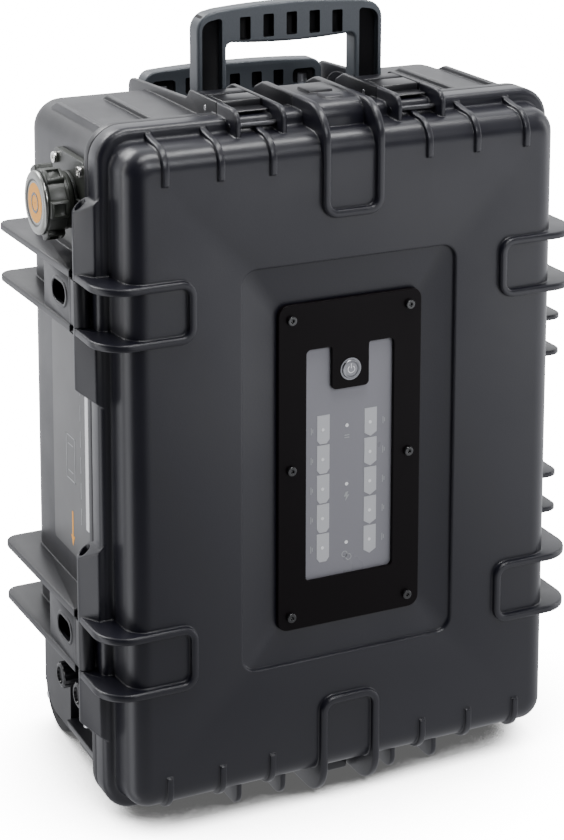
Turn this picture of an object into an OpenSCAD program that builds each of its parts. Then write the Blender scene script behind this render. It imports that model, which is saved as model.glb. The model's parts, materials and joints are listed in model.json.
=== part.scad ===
// Wheeled hard-case battery, standing on its short end.
// +X is right, -Y is the lid side (front) and +Z is up. The origin is on the floor,
// on the centre line, under the seam between lid and base.

/* [Case] */
// Width of the case over the rims
rim_w = 402; // [398:1:406]
// Height of the case over the rims
rim_h = 561; // [558:1:564]
// Depth of the lid, from the seam to its front face
lid_d = 53.4; // [52:0.2:55]
// Depth of the base, from the seam to its back face
base_d = 176; // [172:1:180]
// Wall thickness of the moulded shells
wall = 4; // [3:0.5:4.5]
// Corner radius of the rims
rim_r = 26; // [22:1:30]
// Height of the lowest ears below the rims
foot_h = 11.5; // [11:0.5:12]

/* [Ribs and ears] */
// Thickness of the big side fins and U ribs
fin_t = 6; // [5:0.5:6.5]
// How far the fins stand out from the centre line at the back
fin_x = 218; // [216:0.5:219]
// The same at the seam and on the lid
fin_lid_x = 214.4; // [214:0.1:215]
// Thickness of the latch and handle ears
ear_t = 4.5; // [4:0.25:5]
// How far the ribs stand proud of the lid front
rib_proud = 5; // [4:0.5:6]

/* [Hinge and latches] */
// Distance of the lid hinge axis from the centre line
hinge_x = 208; // [207.6:0.1:208.2]
// Radius of the hinge barrels
barrel_r = 6.4; // [6.2:0.1:6.5]
// Radius of the hinge pins
hinge_pin_r = 3; // [2.5:0.25:3.5]
// Radius of the latch pins and strike rods
pin_r = 2.5; // [2:0.25:2.75]
// Radial running clearance of every turning bore
clear = 0.05; // [0.03:0.01:0.09]

/* [Display] */
// Width of the bezel plate
bezel_w = 128; // [126:1:130]
// Height of the bezel plate
bezel_h = 272; // [270:1:274]
// Depth of the pocket around the bezel
pocket_d = 4; // [3:0.5:4]
// Number of charge bars in each column
bars = 5; // [3:1:6]
// Radius of the power button
button_r = 7.8; // [7:0.2:8.2]

/* [Handles] */
// Height of the carry handle above its pivot
handle_h = 85; // [80:1:88]
// Depth of the carry handle section
handle_t = 18; // [16:1:18]
// Number of pockets in each face of a grip
slots = 5; // [3:1:5]
// Distance of the trolley tubes from the centre line
tube_x = 67; // [64:1:68]

/* [Wheels] */
// Radius of the wheels
wheel_r = 35; // [33:0.5:35]
// Width of the wheels
wheel_w = 26; // [22:1:27]

/* [Cells] */
// Cells in each of the two stacks
cells = 8; // [6:1:8]
// Thickness of one cell
cell_t = 37; // [34:0.5:37]

/* [Hidden] */
$fn = 48;

// Case. Names ending in half_w and half_h are half sizes about the case centre.
seam = 0.25;                   // half of the seam between lid and base
half_w = rim_w/2;
half_h = rim_h/2;
mid_z = foot_h + half_h;       // height of the case centre
top_z = mid_z + half_h;        // top of the rims
dome_half_w = half_w - 10.5;
dome_half_h = half_h - 12;
tub_half_w = half_w - 8;
tub_half_h = half_h - 7.5;
lid_rim_d = 19.4;
base_rim_d = 10;
front_y = -lid_d;              // front face of the dome
rib_y = front_y - rib_proud;   // front of the ribs
fit = 0.02;                    // radial clearance of bores that hold a fixed pin
past_x = 250;                  // cuts through the sides and back run out to here
past_y = 200;

// Ears: reach from the case centre, and places [inner, outer] of each pair
ear_top = half_h + 9.5;
ear_side = half_w + 9.5;
ear_bottom = mid_z;            // the lower ears reach the floor
lid_bottom = ear_bottom - 0.8; // the lid's stop short of it
top_ears = [51.2, 90.7];
side_ears = [54.2, 85.2];

// Axes through the ears: [y, height over the rim]
handle_pivot = [65, -10.5];
latch_pivot = [22, 0.5];
strike_rod = [-24.5, -5.5];
handle_pin_r = 3;

// Side fins, in a lower and an upper pair: [lower z, upper z]
fin_pairs = [[mid_z - 165, mid_z - 118], [mid_z + 119, mid_z + 163]];
fin_z = [for (pair = fin_pairs) each pair];
fin_bottom = fin_z[0] - fin_t/2;
barrel_up = 51;                // hinge barrels above and below each pair
barrel_down = 47;
web_x = [209.4, 213.4];        // plates between the fins

// Arms of the centre U ribs
arm_w = 6.5;
arm_x = 23.75;

// Recesses in the base
liner = 4;                     // solid kept round the recesses
recess_z = top_z - 24.5;       // floor of the top recess
recess_y = 50;
channel_y = 164;               // floor of the trolley channel
recess_half_w = 88.4;
side_recess_x = half_w - 24.5;
side_recess_half = 88;

// --- helpers; spans x, y, z, u and v are [from, to] -------------------------
function around(centre, width) = [centre - width/2, centre + width/2];
// span on the negative (s = -1) or positive (s = 1) side of zero
function span(s, near, far) = s < 0 ? [-far, -near] : [near, far];
// a 2D shape in X-Z, Y-Z or X-Y, given thickness along the third axis
module slab_y(y) rotate([90, 0, 0]) translate([0, 0, -y[1]]) linear_extrude(y[1] - y[0]) children();
module slab_x(x) rotate([90, 0, 90]) translate([0, 0, x[0]]) linear_extrude(x[1] - x[0]) children();
module slab_z(z) translate([0, 0, z[0]]) linear_extrude(z[1] - z[0]) children();
// cylinders along an axis, at their two other coordinates
module cyl_x(x, at, r) translate([x[0], at[0], at[1]]) rotate([0, 90, 0])
  cylinder(h = x[1] - x[0], r = r);
module cyl_y(y, at, r) translate([at[0], y[0], at[1]]) rotate([-90, 0, 0])
  cylinder(h = y[1] - y[0], r = r);
module cyl_z(z, at, r) translate([at[0], at[1], z[0]]) cylinder(h = z[1] - z[0], r = r);
module block(x, y, z) translate([x[0], y[0], z[0]]) cube([x[1] - x[0], y[1] - y[0], z[1] - z[0]]);
module rect(u, v) translate([u[0], v[0]]) square([u[1] - u[0], v[1] - v[0]]);
// rounded rectangle centred on a point
module rounded(size, r, at = [0, 0]) translate(at) {
  square([size[0] - 2*r, size[1]], center = true);
  square([size[0], size[1] - 2*r], center = true);
  for (a = [-1, 1], b = [-1, 1]) translate([a*(size[0]/2 - r), b*(size[1]/2 - r)]) circle(r);
}
// rectangle with both corners at its low u (s = -1) or high u (s = 1) rounded
module end_rounded(u, v, r, s) {
  u0 = s < 0 ? u[0] + r : u[0];
  u1 = s < 0 ? u[1] : u[1] - r;
  rect([u0, u1], v);
  rect(u, [v[0] + r, v[1] - r]);
  for (end = [v[0] + r, v[1] - r]) translate([s < 0 ? u0 : u1, end]) circle(r);
}
// quarter disc on the low u side of its centre, above or below it
module quarter(r, centre, above) intersection() {
  translate(centre) circle(r);
  translate(centre + [-r, above ? 0 : -r]) square(r);
}
module swap_xy() multmatrix([[0, 1, 0, 0], [1, 0, 0, 0], [0, 0, 1, 0]]) children();
// case-shaped solid with half sizes w and h, corner radius r, and its far end edge-rounded
module tub(w, h, r, from_y, to_y, edge_r) {
  s = to_y < from_y ? -1 : 1;
  y = [min(from_y, to_y), max(from_y, to_y)];
  intersection() {
    slab_y(y) rounded([2*w, 2*h], r, [0, mid_z]);
    slab_x([-w - 1, w + 1]) end_rounded(y, [mid_z - h, mid_z + h], edge_r, s);
    slab_z([mid_z - h - 1, mid_z + h + 1]) swap_xy() end_rounded(y, [-w, w], edge_r, s);
  }
}
module rim_outline(inset = 0)
  rounded([rim_w - 2*inset, rim_h - 2*inset], rim_r - inset, [0, mid_z]);
module rim_ring(outer_inset, inner_inset) difference() {
  rim_outline(outer_inset);
  rim_outline(inner_inset);
}
// places children, drawn for the top side with z from the case centre, on a side
module on_top() translate([0, 0, mid_z]) children();
module on_bottom() translate([0, 0, mid_z]) mirror([0, 0, 1]) children();
module on_right() translate([0, 0, mid_z]) rotate([0, 90, 0]) children();

// --- ears -------------------------------------------------------------------
// outlines in Y-Z, from the buried foot to the top edge
module lid_ear_2d(top, foot) {
  corner = 9;
  rect([-28, -seam], [foot, top]);
  rect([-28 - corner, -17], [foot, top - corner]);
  translate([-28, top - corner]) circle(corner);
}
module base_ear_2d(top, foot, long = false) {
  rect([seam, 57], [foot, top]);
  rect([50, 74], [foot, top - 8]);
  if (long) {
    polygon([[50, foot], [50, top - 8], [180, top - 14], [180, foot]]);
    rect([150, 185], [top - 90, top - 14]);
    translate([180, top - 21]) circle(7);
    rect([150, 187], [top - 84, top - 21]);
    polygon([[150, top - 84], [187, top - 84], [172, top - 120], [150, top - 120]]);
  }
}
module lid_ears(ears, top, foot) for (s = [-1, 1], x = ears)
  slab_x(around(s*x, ear_t)) lid_ear_2d(top, foot);
// the outer ears may be long ones
module base_ears(ears, top, foot, long = false) for (s = [-1, 1], i = [0, 1])
  slab_x(around(s*ears[i], ear_t)) base_ear_2d(top, foot, long && i == 1);
// a rod or hole through each pair of ears, on one side of the case
module ear_rods(ears, rim, at, r, over) for (s = [-1, 1])
  cyl_x(span(s, ears[0] - ear_t/2 - over, ears[1] + ear_t/2 + over), [at[0], rim + at[1]], r);
module top_and_right_rods(at, r, over) {
  on_top() ear_rods(top_ears, half_h, at, r, over);
  on_right() ear_rods(side_ears, half_w, at, r, over);
}
module latch_rods(at, r, over) {
  top_and_right_rods(at, r, over);
  on_bottom() ear_rods(top_ears, half_h, at, r, over);
}

// --- lid --------------------------------------------------------------------
// left side fin in X-Y; tail lists the last points of its outline, at the seam
module lid_fin_2d(tail) {
  bend = 28;
  bend_at = [-fin_lid_x + bend, rib_y + bend];
  rect([bend_at[0], -135], [rib_y, -20]);
  quarter(bend, bend_at, above = false);
  polygon(concat([[-fin_lid_x, bend_at[1]], bend_at, [-180, -seam]], tail));
}
// arm of a centre U rib in Y-Z, measured from the case centre
module lid_arm_2d(top) {
  bend = 29.4;
  rect([-20, -seam], [half_h - 30, top]);
  rect([-29, -17], [dome_half_h - 20, top]);
  rect([rib_y, rib_y + 30], [dome_half_h - 40, top - bend]);
  quarter(bend, [rib_y + bend, top - bend], above = true);
}
// centre U rib: two arms, and the closed end on the lid front
module lid_centre(top) {
  u_size = [2*arm_x + arm_w, 96];
  for (s = [-1, 1]) slab_x(around(s*arm_x, arm_w)) lid_arm_2d(top);
  intersection() {
    slab_y([rib_y, front_y + 3]) difference() {
      rounded(u_size, 13, [0, 248]);
      rounded(u_size - [2*arm_w, 2*arm_w + 2], 7, [0, 248]);
    }
    block([-28, 28], [front_y - 9, front_y + 4], [190, dome_half_h - 20]);
  }
}
// ribs wrapping the short edges of the dome
module short_ribs() {
  top = dome_half_h + 3;
  bend = 18;
  for (s = [-1, 1], x = [69, 113, 159]) slab_x(around(s*x, 5.5)) {
    rect([front_y - 3, front_y + 31], [half_h - 39.5, top]);
    rect([front_y + 15, front_y + 38], [dome_half_h - 20, top]);
    translate([front_y + 15, top - bend]) circle(bend);
  }
}
// hinge barrel with its web towards the lid rim
module barrel(z) slab_z(z) {
  translate([-hinge_x, 0]) circle(barrel_r);
  polygon([[-hinge_x - barrel_r, 0], [-hinge_x - barrel_r + 0.8, -5], [-204, -19],
    [-195, -lid_rim_d], [-195, -seam], [-hinge_x + 5, -seam], [-hinge_x, 0]]);
}
module hinge_bores(r) for (pair = fin_pairs)
  cyl_z([pair[0] - 60, pair[1] + 60], [-hinge_x, 0], r);

// lid half of the block between the top U arms
module lid_centre_block() on_top() intersection() {
  block([-20.5, 20.5], [-32, -seam], [dome_half_h - 4, ear_top]);
  slab_x([-21, 21]) {
    rect([-20, 0], [200, ear_top]);
    rect([-40, 0], [200, ear_top - 12]);
    translate([-20, ear_top - 12]) circle(12);
  }
}
module lid_solid() {
  slab_y([-lid_rim_d, -seam]) rim_outline();
  tub(dome_half_w, dome_half_h, 18, -seam, front_y, 16);
  on_top() {
    lid_ears(top_ears, ear_top, dome_half_h - 20);
    lid_centre(ear_top + 1);
    short_ribs();
  }
  on_bottom() {
    lid_ears(top_ears, lid_bottom, dome_half_h - 20);
    lid_centre(lid_bottom);
    short_ribs();
  }
  on_right() lid_ears(side_ears, ear_side, dome_half_w - 20);
  for (z = fin_z) slab_z(around(z, fin_t)) {
    lid_fin_2d([[-hinge_x + 3, -seam], [-hinge_x - barrel_r, 0]]);
    mirror([1, 0]) lid_fin_2d([[-fin_lid_x, -seam]]);
    translate([-hinge_x, 0]) circle(barrel_r);
  }
  for (pair = fin_pairs) {
    // bars closing the inboard ends of the fins on the lid front
    for (s = [-1, 1]) block(span(s, 135, 141), [rib_y, front_y + 3], pair);
    barrel([pair[1], pair[1] + barrel_up]);
    barrel([pair[0] - barrel_down, pair[0]]);
    // web between the right fins
    block([half_w - 4, half_w + 4], [-16, -seam], pair);
  }
  lid_centre_block();
}

// Display places, also used by the lid
pocket = [189.4, 332.4];       // pocket round the bezel
window = [88, 204];            // opening behind the bezel
face_z = mid_z - 2;            // centre of the bezel
pocket_y = front_y + pocket_d; // pocket floor
screw_hole_r = 2.1;
bezel_screw_at = [for (x = [-52.7, 52.7], z = [-124, 0, 124]) [x, face_z - 0.5 + z]];
// Gasket groove: distances of its outer and inner edge inside the rim
groove = [3.5, 9.5];

module lid_shell() color("#26272b") difference() {
  lid_solid();
  // hollow, leaving a floor behind the pocket
  difference() {
    tub(dome_half_w - wall, dome_half_h - wall, 14, 1, front_y + wall, 12);
    block(around(0, pocket[0] + 2*liner), [front_y - 1, pocket_y + wall],
      around(mid_z, pocket[1] + 2*liner + 0));
  }
  slab_y([front_y - 1, pocket_y]) rounded(pocket, 12.5, [0, mid_z]);
  slab_y([front_y - 1, -30]) rounded(window, 4, [0, face_z]);
  for (at = bezel_screw_at) cyl_y([front_y, -35], at, screw_hole_r);
  slab_y([-4, 1]) rim_ring(groove[0], groove[1]);
  latch_rods(strike_rod, pin_r + fit, 1);
  hinge_bores(hinge_pin_r + clear);
  // room for the base knuckles
  for (pair = fin_pairs)
    cyl_z([pair[0] + fin_t/2, pair[1] - fin_t/2], [-hinge_x, 0], barrel_r + 0.8);
  // room for the base foot
  block([-20.5, 20.5], [-40, 1], [-1, foot_h - 0.5]);
}
module lid_gasket() color("#111214") slab_y([-3.9, -0.02]) rim_ring(groove[0] + 0.2, groove[1] - 0.2);

// --- base -------------------------------------------------------------------
// left side fin in X-Y
module base_fin_2d() {
  bend = 10;
  polygon([[-180, seam], [-fin_lid_x, seam], [-fin_x, base_d - 16], [-fin_x, base_d - 12],
    [-180, base_d - 12]]);
  rect([-fin_x + bend, -180], [seam + 30, base_d - 2]);
  translate([-fin_x + bend, base_d - 12]) circle(bend);
}
// left plate between two fins with a strap slot, carrying the hinge knuckle
module strap_web(z, slot_z) difference() {
  union() {
    block(span(-1, web_x[0], web_x[1]), [6, 70], z);
    block([-211, -190], [66, 70], z);
    cyl_z(z, [-hinge_x, 0], barrel_r);
    block([-web_x[1], -hinge_x + 2], [0, 12], z);
  }
  slab_x([-215, -208]) rounded([33, 19], 9.4, [34, slot_z]);
}
module base_arms(top) for (s = [-1, 1])
  slab_x(around(s*arm_x, arm_w)) base_ear_2d(top, tub_half_h - 10);
// low ribs along the top and bottom of the tub
module low_ribs() for (s = [-1, 1], rib = [[137, 0], [181, 2]]) { // [x, drop]
  x = around(s*rib[0], 5);
  block(x, [5, 130], [mid_z + tub_half_h - 6, mid_z + tub_half_h + 4 - rib[1]]);
  block(x, [5, 88], [mid_z - tub_half_h - 3 + rib[1], mid_z - tub_half_h + 6]);
}
module base_solid() {
  slab_y([seam, base_rim_d]) rim_outline();
  tub(tub_half_w, tub_half_h, 24, seam, base_d, 34);
  on_top() {
    base_ears(top_ears, ear_top, tub_half_h - 22, long = true);
    base_arms(ear_top);
    block([-20.5, 20.5], [seam, 44], [tub_half_h - 10, ear_top - 1]);
    for (s = [-1, 1])
      block(span(s, top_ears[0], top_ears[1]), [33, 49], [tub_half_h - 10, ear_top - 1.5]);
  }
  on_bottom() {
    base_ears(top_ears, ear_bottom, tub_half_h - 20);
    base_arms(ear_bottom);
    block([-19, 19], [seam, 44], [tub_half_h - 10, ear_bottom]);
    // foot reaching forward under the lid
    block([-19, 19], [-15, 10], [mid_z - foot_h + 1.5, ear_bottom]);
  }
  on_right() base_ears(side_ears, ear_side, tub_half_w - 22);
  for (z = fin_z) slab_z(around(z, fin_t)) {
    difference() {
      base_fin_2d();
      translate([-hinge_x, 0]) circle(11);
    }
    mirror([1, 0]) base_fin_2d();
  }
  for (pair = fin_pairs) {
    strap_web([pair[0] + fin_t/2, pair[1] - fin_t/2], (pair[0] + pair[1])/2 + 3);
    block(web_x, [10, 70], pair);
    block([190, 211], [66, 70], pair);
  }
  low_ribs();
}
housing_x = 141;               // inner side of the wheel housings
housing_y = 91;                // and their front
port_x = -181;                 // floor of the port recess
port_recess_y = [12, 92];
port_recess_z = mid_z - 252;
// material left in the hollow round the recesses
module recess_liners() {
  liner_x = [-92.3, 92.3];
  block(liner_x, [recess_y - liner, past_y], [recess_z - wall, top_z]);
  block(liner_x, [channel_y - wall, past_y], [90, top_z]);
  block([side_recess_x - wall, half_w], [recess_y - liner, past_y],
    around(mid_z, 2*(side_recess_half + wall)));
  for (s = [-1, 1])
    block(span(s, housing_x - liner, past_x), [housing_y - liner, past_y], [0, 128]);
  block([-past_x, port_x + liner], port_recess_y + [-liner, liner],
    [port_recess_z - liner, 122]);
}
// handle recesses, trolley channel, wheel housings and port recess
module recesses() {
  recess_x = [-recess_half_w, recess_half_w];
  block(recess_x, [recess_y, past_y], [recess_z, top_z + 0.5]);
  block(recess_x, [channel_y, past_y], [96, top_z]);
  block([side_recess_x, half_w + 1], [recess_y, 170], around(mid_z, 2*side_recess_half));
  for (s = [-1, 1]) block(span(s, housing_x, 212.9), [housing_y, past_y], [-1, fin_bottom]);
  block([-past_x, port_x], port_recess_y, [port_recess_z, fin_bottom]);
}

// Left side connector and ports; places are [y, z]
side_x = -tub_half_w;          // left face of the tub
flange_t = 6;
flange_x = side_x - flange_t;  // outer face of the connector flange
connector = [48, mid_z + 212.2];
connector_screw_at = [for (a = [-1, 1], b = [-1, 1]) connector + 28*[a, b]];
contact_offset = 8;            // contacts from the connector axis
power_at = [for (s = [-1, 1]) connector + [0, s*contact_offset]];
signal_at = [for (s = [-1, 1]) connector + [s*contact_offset, 0]];
contact_r = 4;
signal_r = 1.5;
port_at = [for (y = [35, 75]) [y, mid_z - 202]];

module base_shell() color("#26272b") difference() {
  base_solid();
  difference() {
    tub(tub_half_w - wall, tub_half_h - wall, 18, -1, base_d - wall, 30);
    recess_liners();
  }
  recesses();
  latch_rods(latch_pivot, pin_r + fit, 1);
  top_and_right_rods(handle_pivot, handle_pin_r + fit, 1);
  hinge_bores(hinge_pin_r + fit);
  cyl_x([-past_x, -150], connector, 24);
  for (at = connector_screw_at) cyl_x([-past_x, -180], at, 2.04);
  for (at = port_at) cyl_x([-190, -150], at, 7);
}
module hinge_pins() color("#c9cacc") for (pair = fin_pairs)
  cyl_z([pair[0] - barrel_down + 0.5, pair[1] + barrel_up - 0.5], [-hinge_x, 0], hinge_pin_r);

// --- latches ----------------------------------------------------------------
// a lever between the ears of the pair at the low x (s = -1) or high x (s = 1) end
module lever(ears, rim, s) translate([s*(ears[0] + ears[1])/2, 0, 0]) {
  width = ears[1] - ears[0] - ear_t - 2.4;
  pivot = [latch_pivot[0], rim + latch_pivot[1]];
  difference() {
    slab_x(around(0, width)) {
      rect([0.5, 24], [rim + 4.4, rim + 9.5]);
      rect([-14, 6], [rim + 2, rim + 5]);
      rect([14, 26], [rim + 2, rim + 7.5]);
      translate(pivot) circle(6.2);
    }
    cyl_x([-width, width], pivot, pin_r + clear);
  }
}
module latch_top_left() color("#1f2023") on_top() lever(top_ears, half_h, -1);
module latch_top_right() color("#1f2023") on_top() lever(top_ears, half_h, 1);
module latch_bottom_left() color("#1f2023") on_bottom() lever(top_ears, half_h, -1);
module latch_bottom_right() color("#1f2023") on_bottom() lever(top_ears, half_h, 1);
module latch_side_upper() color("#1f2023") on_right() lever(side_ears, half_w, -1);
module latch_side_lower() color("#1f2023") on_right() lever(side_ears, half_w, 1);
module latch_pivot_pins() color("#c9cacc") latch_rods(latch_pivot, pin_r, 0.3);
module latch_strike_rods() color("#2a2b2e") latch_rods(strike_rod, pin_r, 0.3);

// --- handles ----------------------------------------------------------------
grip_foot = 9;                 // reach of the legs below the pivot
// handle outline in X-Z of half width w: pivot line at z = 0, arched top
module grip_2d(w, leg) {
  arch_r = 900;
  difference() {
    union() {
      intersection() {
        rounded([2*w, handle_h + grip_foot + 16], 15, [0, (handle_h - grip_foot)/2 - 8]);
        translate([0, handle_h - arch_r]) circle(arch_r, $fn = 200);
      }
      for (s = [-1, 1])
        rounded([leg, 2*grip_foot], min(grip_foot, leg/2) - 0.5, [s*(w - leg/2), 0]);
    }
    rounded([2*(w - leg), 2*(handle_h - 33)], 5);
    rect([-w - 1, w + 1], [-grip_foot - 60, -grip_foot]);
    rect([leg - w, w - leg], [-grip_foot - 1, 19]);
  }
}
// row of pockets in both faces of a grip
module grip_pockets(height, z) for (i = [0 : slots - 1], s = [-1, 1])
  slab_y(span(s, 1, 20)) rounded([9.6, height], 1.2, [(i - (slots - 1)/2)*21, z]);
module handle(w, leg) difference() {
  slab_y(around(0, handle_t)) grip_2d(w, leg);
  grip_pockets(18.5, handle_h - 18);
  // legs are thinned from both faces
  for (s = [-1, 1], face = [-1, 1]) slab_y(span(face, 1.8, 10))
    rounded([leg - 8, handle_h - 22], 4, [s*(w - leg/2), handle_h/2 + 2]);
  cyl_x([-100, 100], [0, 0], handle_pin_r + clear);
}
module carry_handle() color("#2b2c30")
  translate([0, handle_pivot[0], top_z + handle_pivot[1]]) handle(84.5, 26);
// lies folded towards the back
module side_handle() color("#2b2c30")
  translate([half_w + handle_pivot[1], handle_pivot[0], mid_z])
  rotate([-90, 0, 0]) rotate([0, 0, -90]) handle(81.5, 22);
module handle_pins() color("#c9cacc") top_and_right_rods(handle_pivot, handle_pin_r, 0.6);

// --- trolley ----------------------------------------------------------------
trolley_y = 178;               // plane of the tubes
trolley_z = top_z - 8;         // upper trolley parts are measured down from here
tube_r = [7, 8.5, 10];         // outer radii of inner, mid and outer tubes
module trolley_grip() color("#2b2c30") translate([0, trolley_y, trolley_z - 6]) difference() {
  arch_r = 1100;
  slab_y([-9, 9]) intersection() {
    rounded([170, 60], 12, [0, -12.5]);
    translate([0, 17.5 - arch_r]) circle(arch_r, $fn = 200);
    rect([-90, 90], [-15, 25]);
  }
  grip_pockets(14, 0.5);
  // shallow pockets at the ends
  for (s = [-1, 1], face = [-1, 1]) slab_y(span(face, 5.5, 10)) rounded([22, 14], 4, [s*67, 0]);
  for (s = [-1, 1]) cyl_z([-16, 2], [s*tube_x, 0], 7.01);
}
module tubes(z, outer, bore) for (s = [-1, 1]) difference() {
  cyl_z(z, [s*tube_x, trolley_y], outer);
  cyl_z(z + [-1, 1], [s*tube_x, trolley_y], bore);
}
module trolley_inner_tubes() color("#b9bcc0") tubes([120, trolley_z - 4.5], tube_r[0], 5.5);
module trolley_mid_tubes() color("#a9acb0")
  tubes([116, trolley_z - 24], tube_r[1], tube_r[0] + clear);
module trolley_outer_tubes() color("#8f9296")
  tubes([110, trolley_z - 28], tube_r[2], tube_r[1] + clear);
// block holding the outer tubes, bored from bore_z up, with a step cut in its back
module tube_clamp(w, z, bore_z, screw_z) difference() {
  block([-w, w], [channel_y + 0.1, 190], z);
  for (s = [-1, 1]) cyl_z([bore_z, z[1] + 6], [s*tube_x, trolley_y], tube_r[2] + fit);
  block([-50, 50], [172, past_y], z + [-8, 8]);
  for (x = [-36, 36]) cyl_y([150, past_y], [x, screw_z], 2.5);
}
module trolley_collar() color("#26272b")
  tube_clamp(88, [trolley_z - 52, trolley_z - 28.2], trolley_z - 60, trolley_z - 40);
module trolley_foot_bracket() color("#26272b") tube_clamp(86, [98, 124], 104, 111);

// --- wheels -----------------------------------------------------------------
axle = [150, wheel_r];         // [y, z]
axle_r = 3;
wheel_x = 166.7;               // wheel centre
cheek_y = [94, 157];
bracket_x = [145.5, 188];      // inner and outer face of a bracket
cheek_t = 4;
bracket_top = fin_bottom - 0.3;
tyre_t = 11;                   // radial thickness of the tyre
// cheek outline in Y-Z
module cheek_2d() {
  bend = 29;
  rect(cheek_y, [46, bracket_top]);
  rect([94, 128], [27, 67]);
  intersection() {
    translate([cheek_y[1] - bend, 27 + bend]) circle(bend);
    rect(cheek_y, [27, 87]);
  }
}
module wheel_bracket(s) difference() {
  inner = bracket_x[0];
  outer = bracket_x[1];
  union() {
    slab_x(span(s, outer - cheek_t, outer)) cheek_2d();
    slab_x(span(s, inner, inner + cheek_t)) cheek_2d();
    block(span(s, inner, outer), cheek_y, [fin_bottom - 8, bracket_top]);
    block(span(s, inner, outer), [94, 98], [27, fin_bottom - 1]);
    // bosses on the inside of the cheeks
    cyl_x(span(s, 181.1, 184.1), axle, 7);
    cyl_x(span(s, 149.4, 152.4), axle, 7);
  }
  cyl_x([-past_x, past_x], axle, axle_r + fit);
}
module wheel_bracket_left() color("#232427") wheel_bracket(-1);
module wheel_bracket_right() color("#232427") wheel_bracket(1);
module wheel_axles() color("#d6d7d9") for (s = [-1, 1]) cyl_x(span(s, 145, 188.4), axle, axle_r);
module at_wheel(s) translate([s*wheel_x, axle[0], axle[1]]) rotate([0, 90, 0]) children();
module hub(s) at_wheel(s) difference() {
  union() {
    cylinder(h = wheel_w - 4, r = wheel_r - tyre_t, center = true);
    cylinder(h = wheel_w, r = 8, center = true);
  }
  cylinder(h = 60, r = axle_r + clear, center = true);
  // ring of round pockets in both faces
  for (a = [0 : 60 : 359], face = [-1, 1]) rotate(a) translate([16, 0, face*(wheel_w/2 - 4)])
    cylinder(h = 8, r = 4, center = true);
}
// tyre section with bevelled edges and two fine grooves
module tyre(s) at_wheel(s) rotate_extrude($fn = 96) difference() {
  translate([wheel_r - tyre_t, -wheel_w/2 + 1]) square([tyre_t, wheel_w - 2]);
  for (face = [-1, 1]) {
    translate([wheel_r, face*(wheel_w/2 - 1)]) rotate(45) square(4.4, center = true);
    translate([wheel_r, face*4]) square([2, 1.2], center = true);
  }
}
module wheel_hub_left() color("#4a4b4f") hub(-1);
module wheel_hub_right() color("#4a4b4f") hub(1);
module wheel_tyre_left() color("#151516") tyre(-1);
module wheel_tyre_right() color("#151516") tyre(1);

// --- left side connector and ports --------------------------------------------
module connector_flange() color("#3b3f3a") difference() {
  slab_x([flange_x, side_x]) rounded([72, 72], 8, connector);
  cyl_x([side_x - 10, side_x + 10], connector, 22.1);
  for (at = connector_screw_at) cyl_x([side_x - 10, side_x + 10], at, screw_hole_r);
}
module connector_screws() color("#cfd0d2") for (at = connector_screw_at) difference() {
  union() {
    cyl_x([flange_x - 3.4, flange_x], at, 4.6);
    cyl_x([flange_x - 1, side_x + wall + 4], at, 2);
  }
  cyl_x([flange_x - 4, flange_x - 1.4], at, 2);
}
module connector_socket() color("#2c2e2c") difference() {
  union() {
    cyl_x([side_x - 20, side_x + 24], connector, 20);
    cyl_x([side_x + wall + 0.2, side_x + wall + 9], connector, 28);
    cyl_x([flange_x, side_x + wall + 1], connector, 22);
  }
  cyl_x([side_x - 21, side_x + 2], connector, 16.5);
  for (at = power_at) cyl_x([side_x, side_x + 30], at, contact_r + fit);
  for (at = signal_at) cyl_x([side_x, side_x + 30], at, signal_r + fit);
}
module connector_contacts() color("#c8a24a") {
  for (at = power_at) cyl_x([side_x - 14, side_x + 30], at, contact_r);
  for (at = signal_at) cyl_x([side_x - 12, side_x + 28], at, signal_r);
}
module connector_cap() color("#2a2d2a") difference() {
  union() {
    cyl_x([-228, -224.6], connector, 25.4);
    cyl_x([-226, -209.5], connector, 26.6);
    cyl_x([-214, flange_x - 3.5], connector, 23);
    // lugs round the cap, each with a shallow pocket
    for (a = [0 : 60 : 359])
      translate([-218, connector[0], connector[1]]) rotate([a, 0, 0]) difference() {
        block([-6.4, 8.5], [-7, 7], [20, 30.6]);
        block([-3.6, 5.6], [-4.4, 4.4], [28.6, 32]);
      }
  }
  cyl_x([-224, -190], connector, 20.06);
}
// ring with a tab towards the front
module cap_retainer() color("#33352f") slab_x([flange_x - 3, flange_x - 0.1])
  translate(connector) difference() {
    union() {
      circle(22.8);
      rect([-36, -16], [-5.5, 5.5]);
    }
    circle(20.1);
  }
module port_bodies() color("#222326") for (at = port_at) difference() {
  union() {
    cyl_x([-188, -172], at, 6.9);
    cyl_x([-188, -181.1], at, 9.5);
    cyl_x([-176.9, -173], at, 10);
  }
  cyl_x([-189, -160], at, 4.5);
}
module port_cap(at) {
  cyl_x([-204, -188.2], at, 10);
  for (a = [0 : 30 : 359]) translate([-196, at[0], at[1]]) rotate([a, 0, 0])
    block([-7.5, 7.5], [-1.2, 1.2], [9, 11]);
  cyl_x([-190, -186], at, 4.4);
}
module port_cap_front() color("#1d1e20") port_cap(port_at[0]);
module port_cap_rear() color("#1d1e20") port_cap(port_at[1]);
module side_label() color("#a4a6a8")
  slab_x([side_x - 0.7, side_x - 0.02]) rounded([90, 190], 4, [64, mid_z + 2]);

// --- display ----------------------------------------------------------------
button_at = [0, face_z + 76.5];
// cylinder on the button axis, y measured from the pocket floor
module button_cyl(y, r) cyl_y([pocket_y + y[0], pocket_y + y[1]], button_at, r);
// slab in the same measure
module pocket_slab(y) slab_y([pocket_y + y[0], pocket_y + y[1]]) children();

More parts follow.
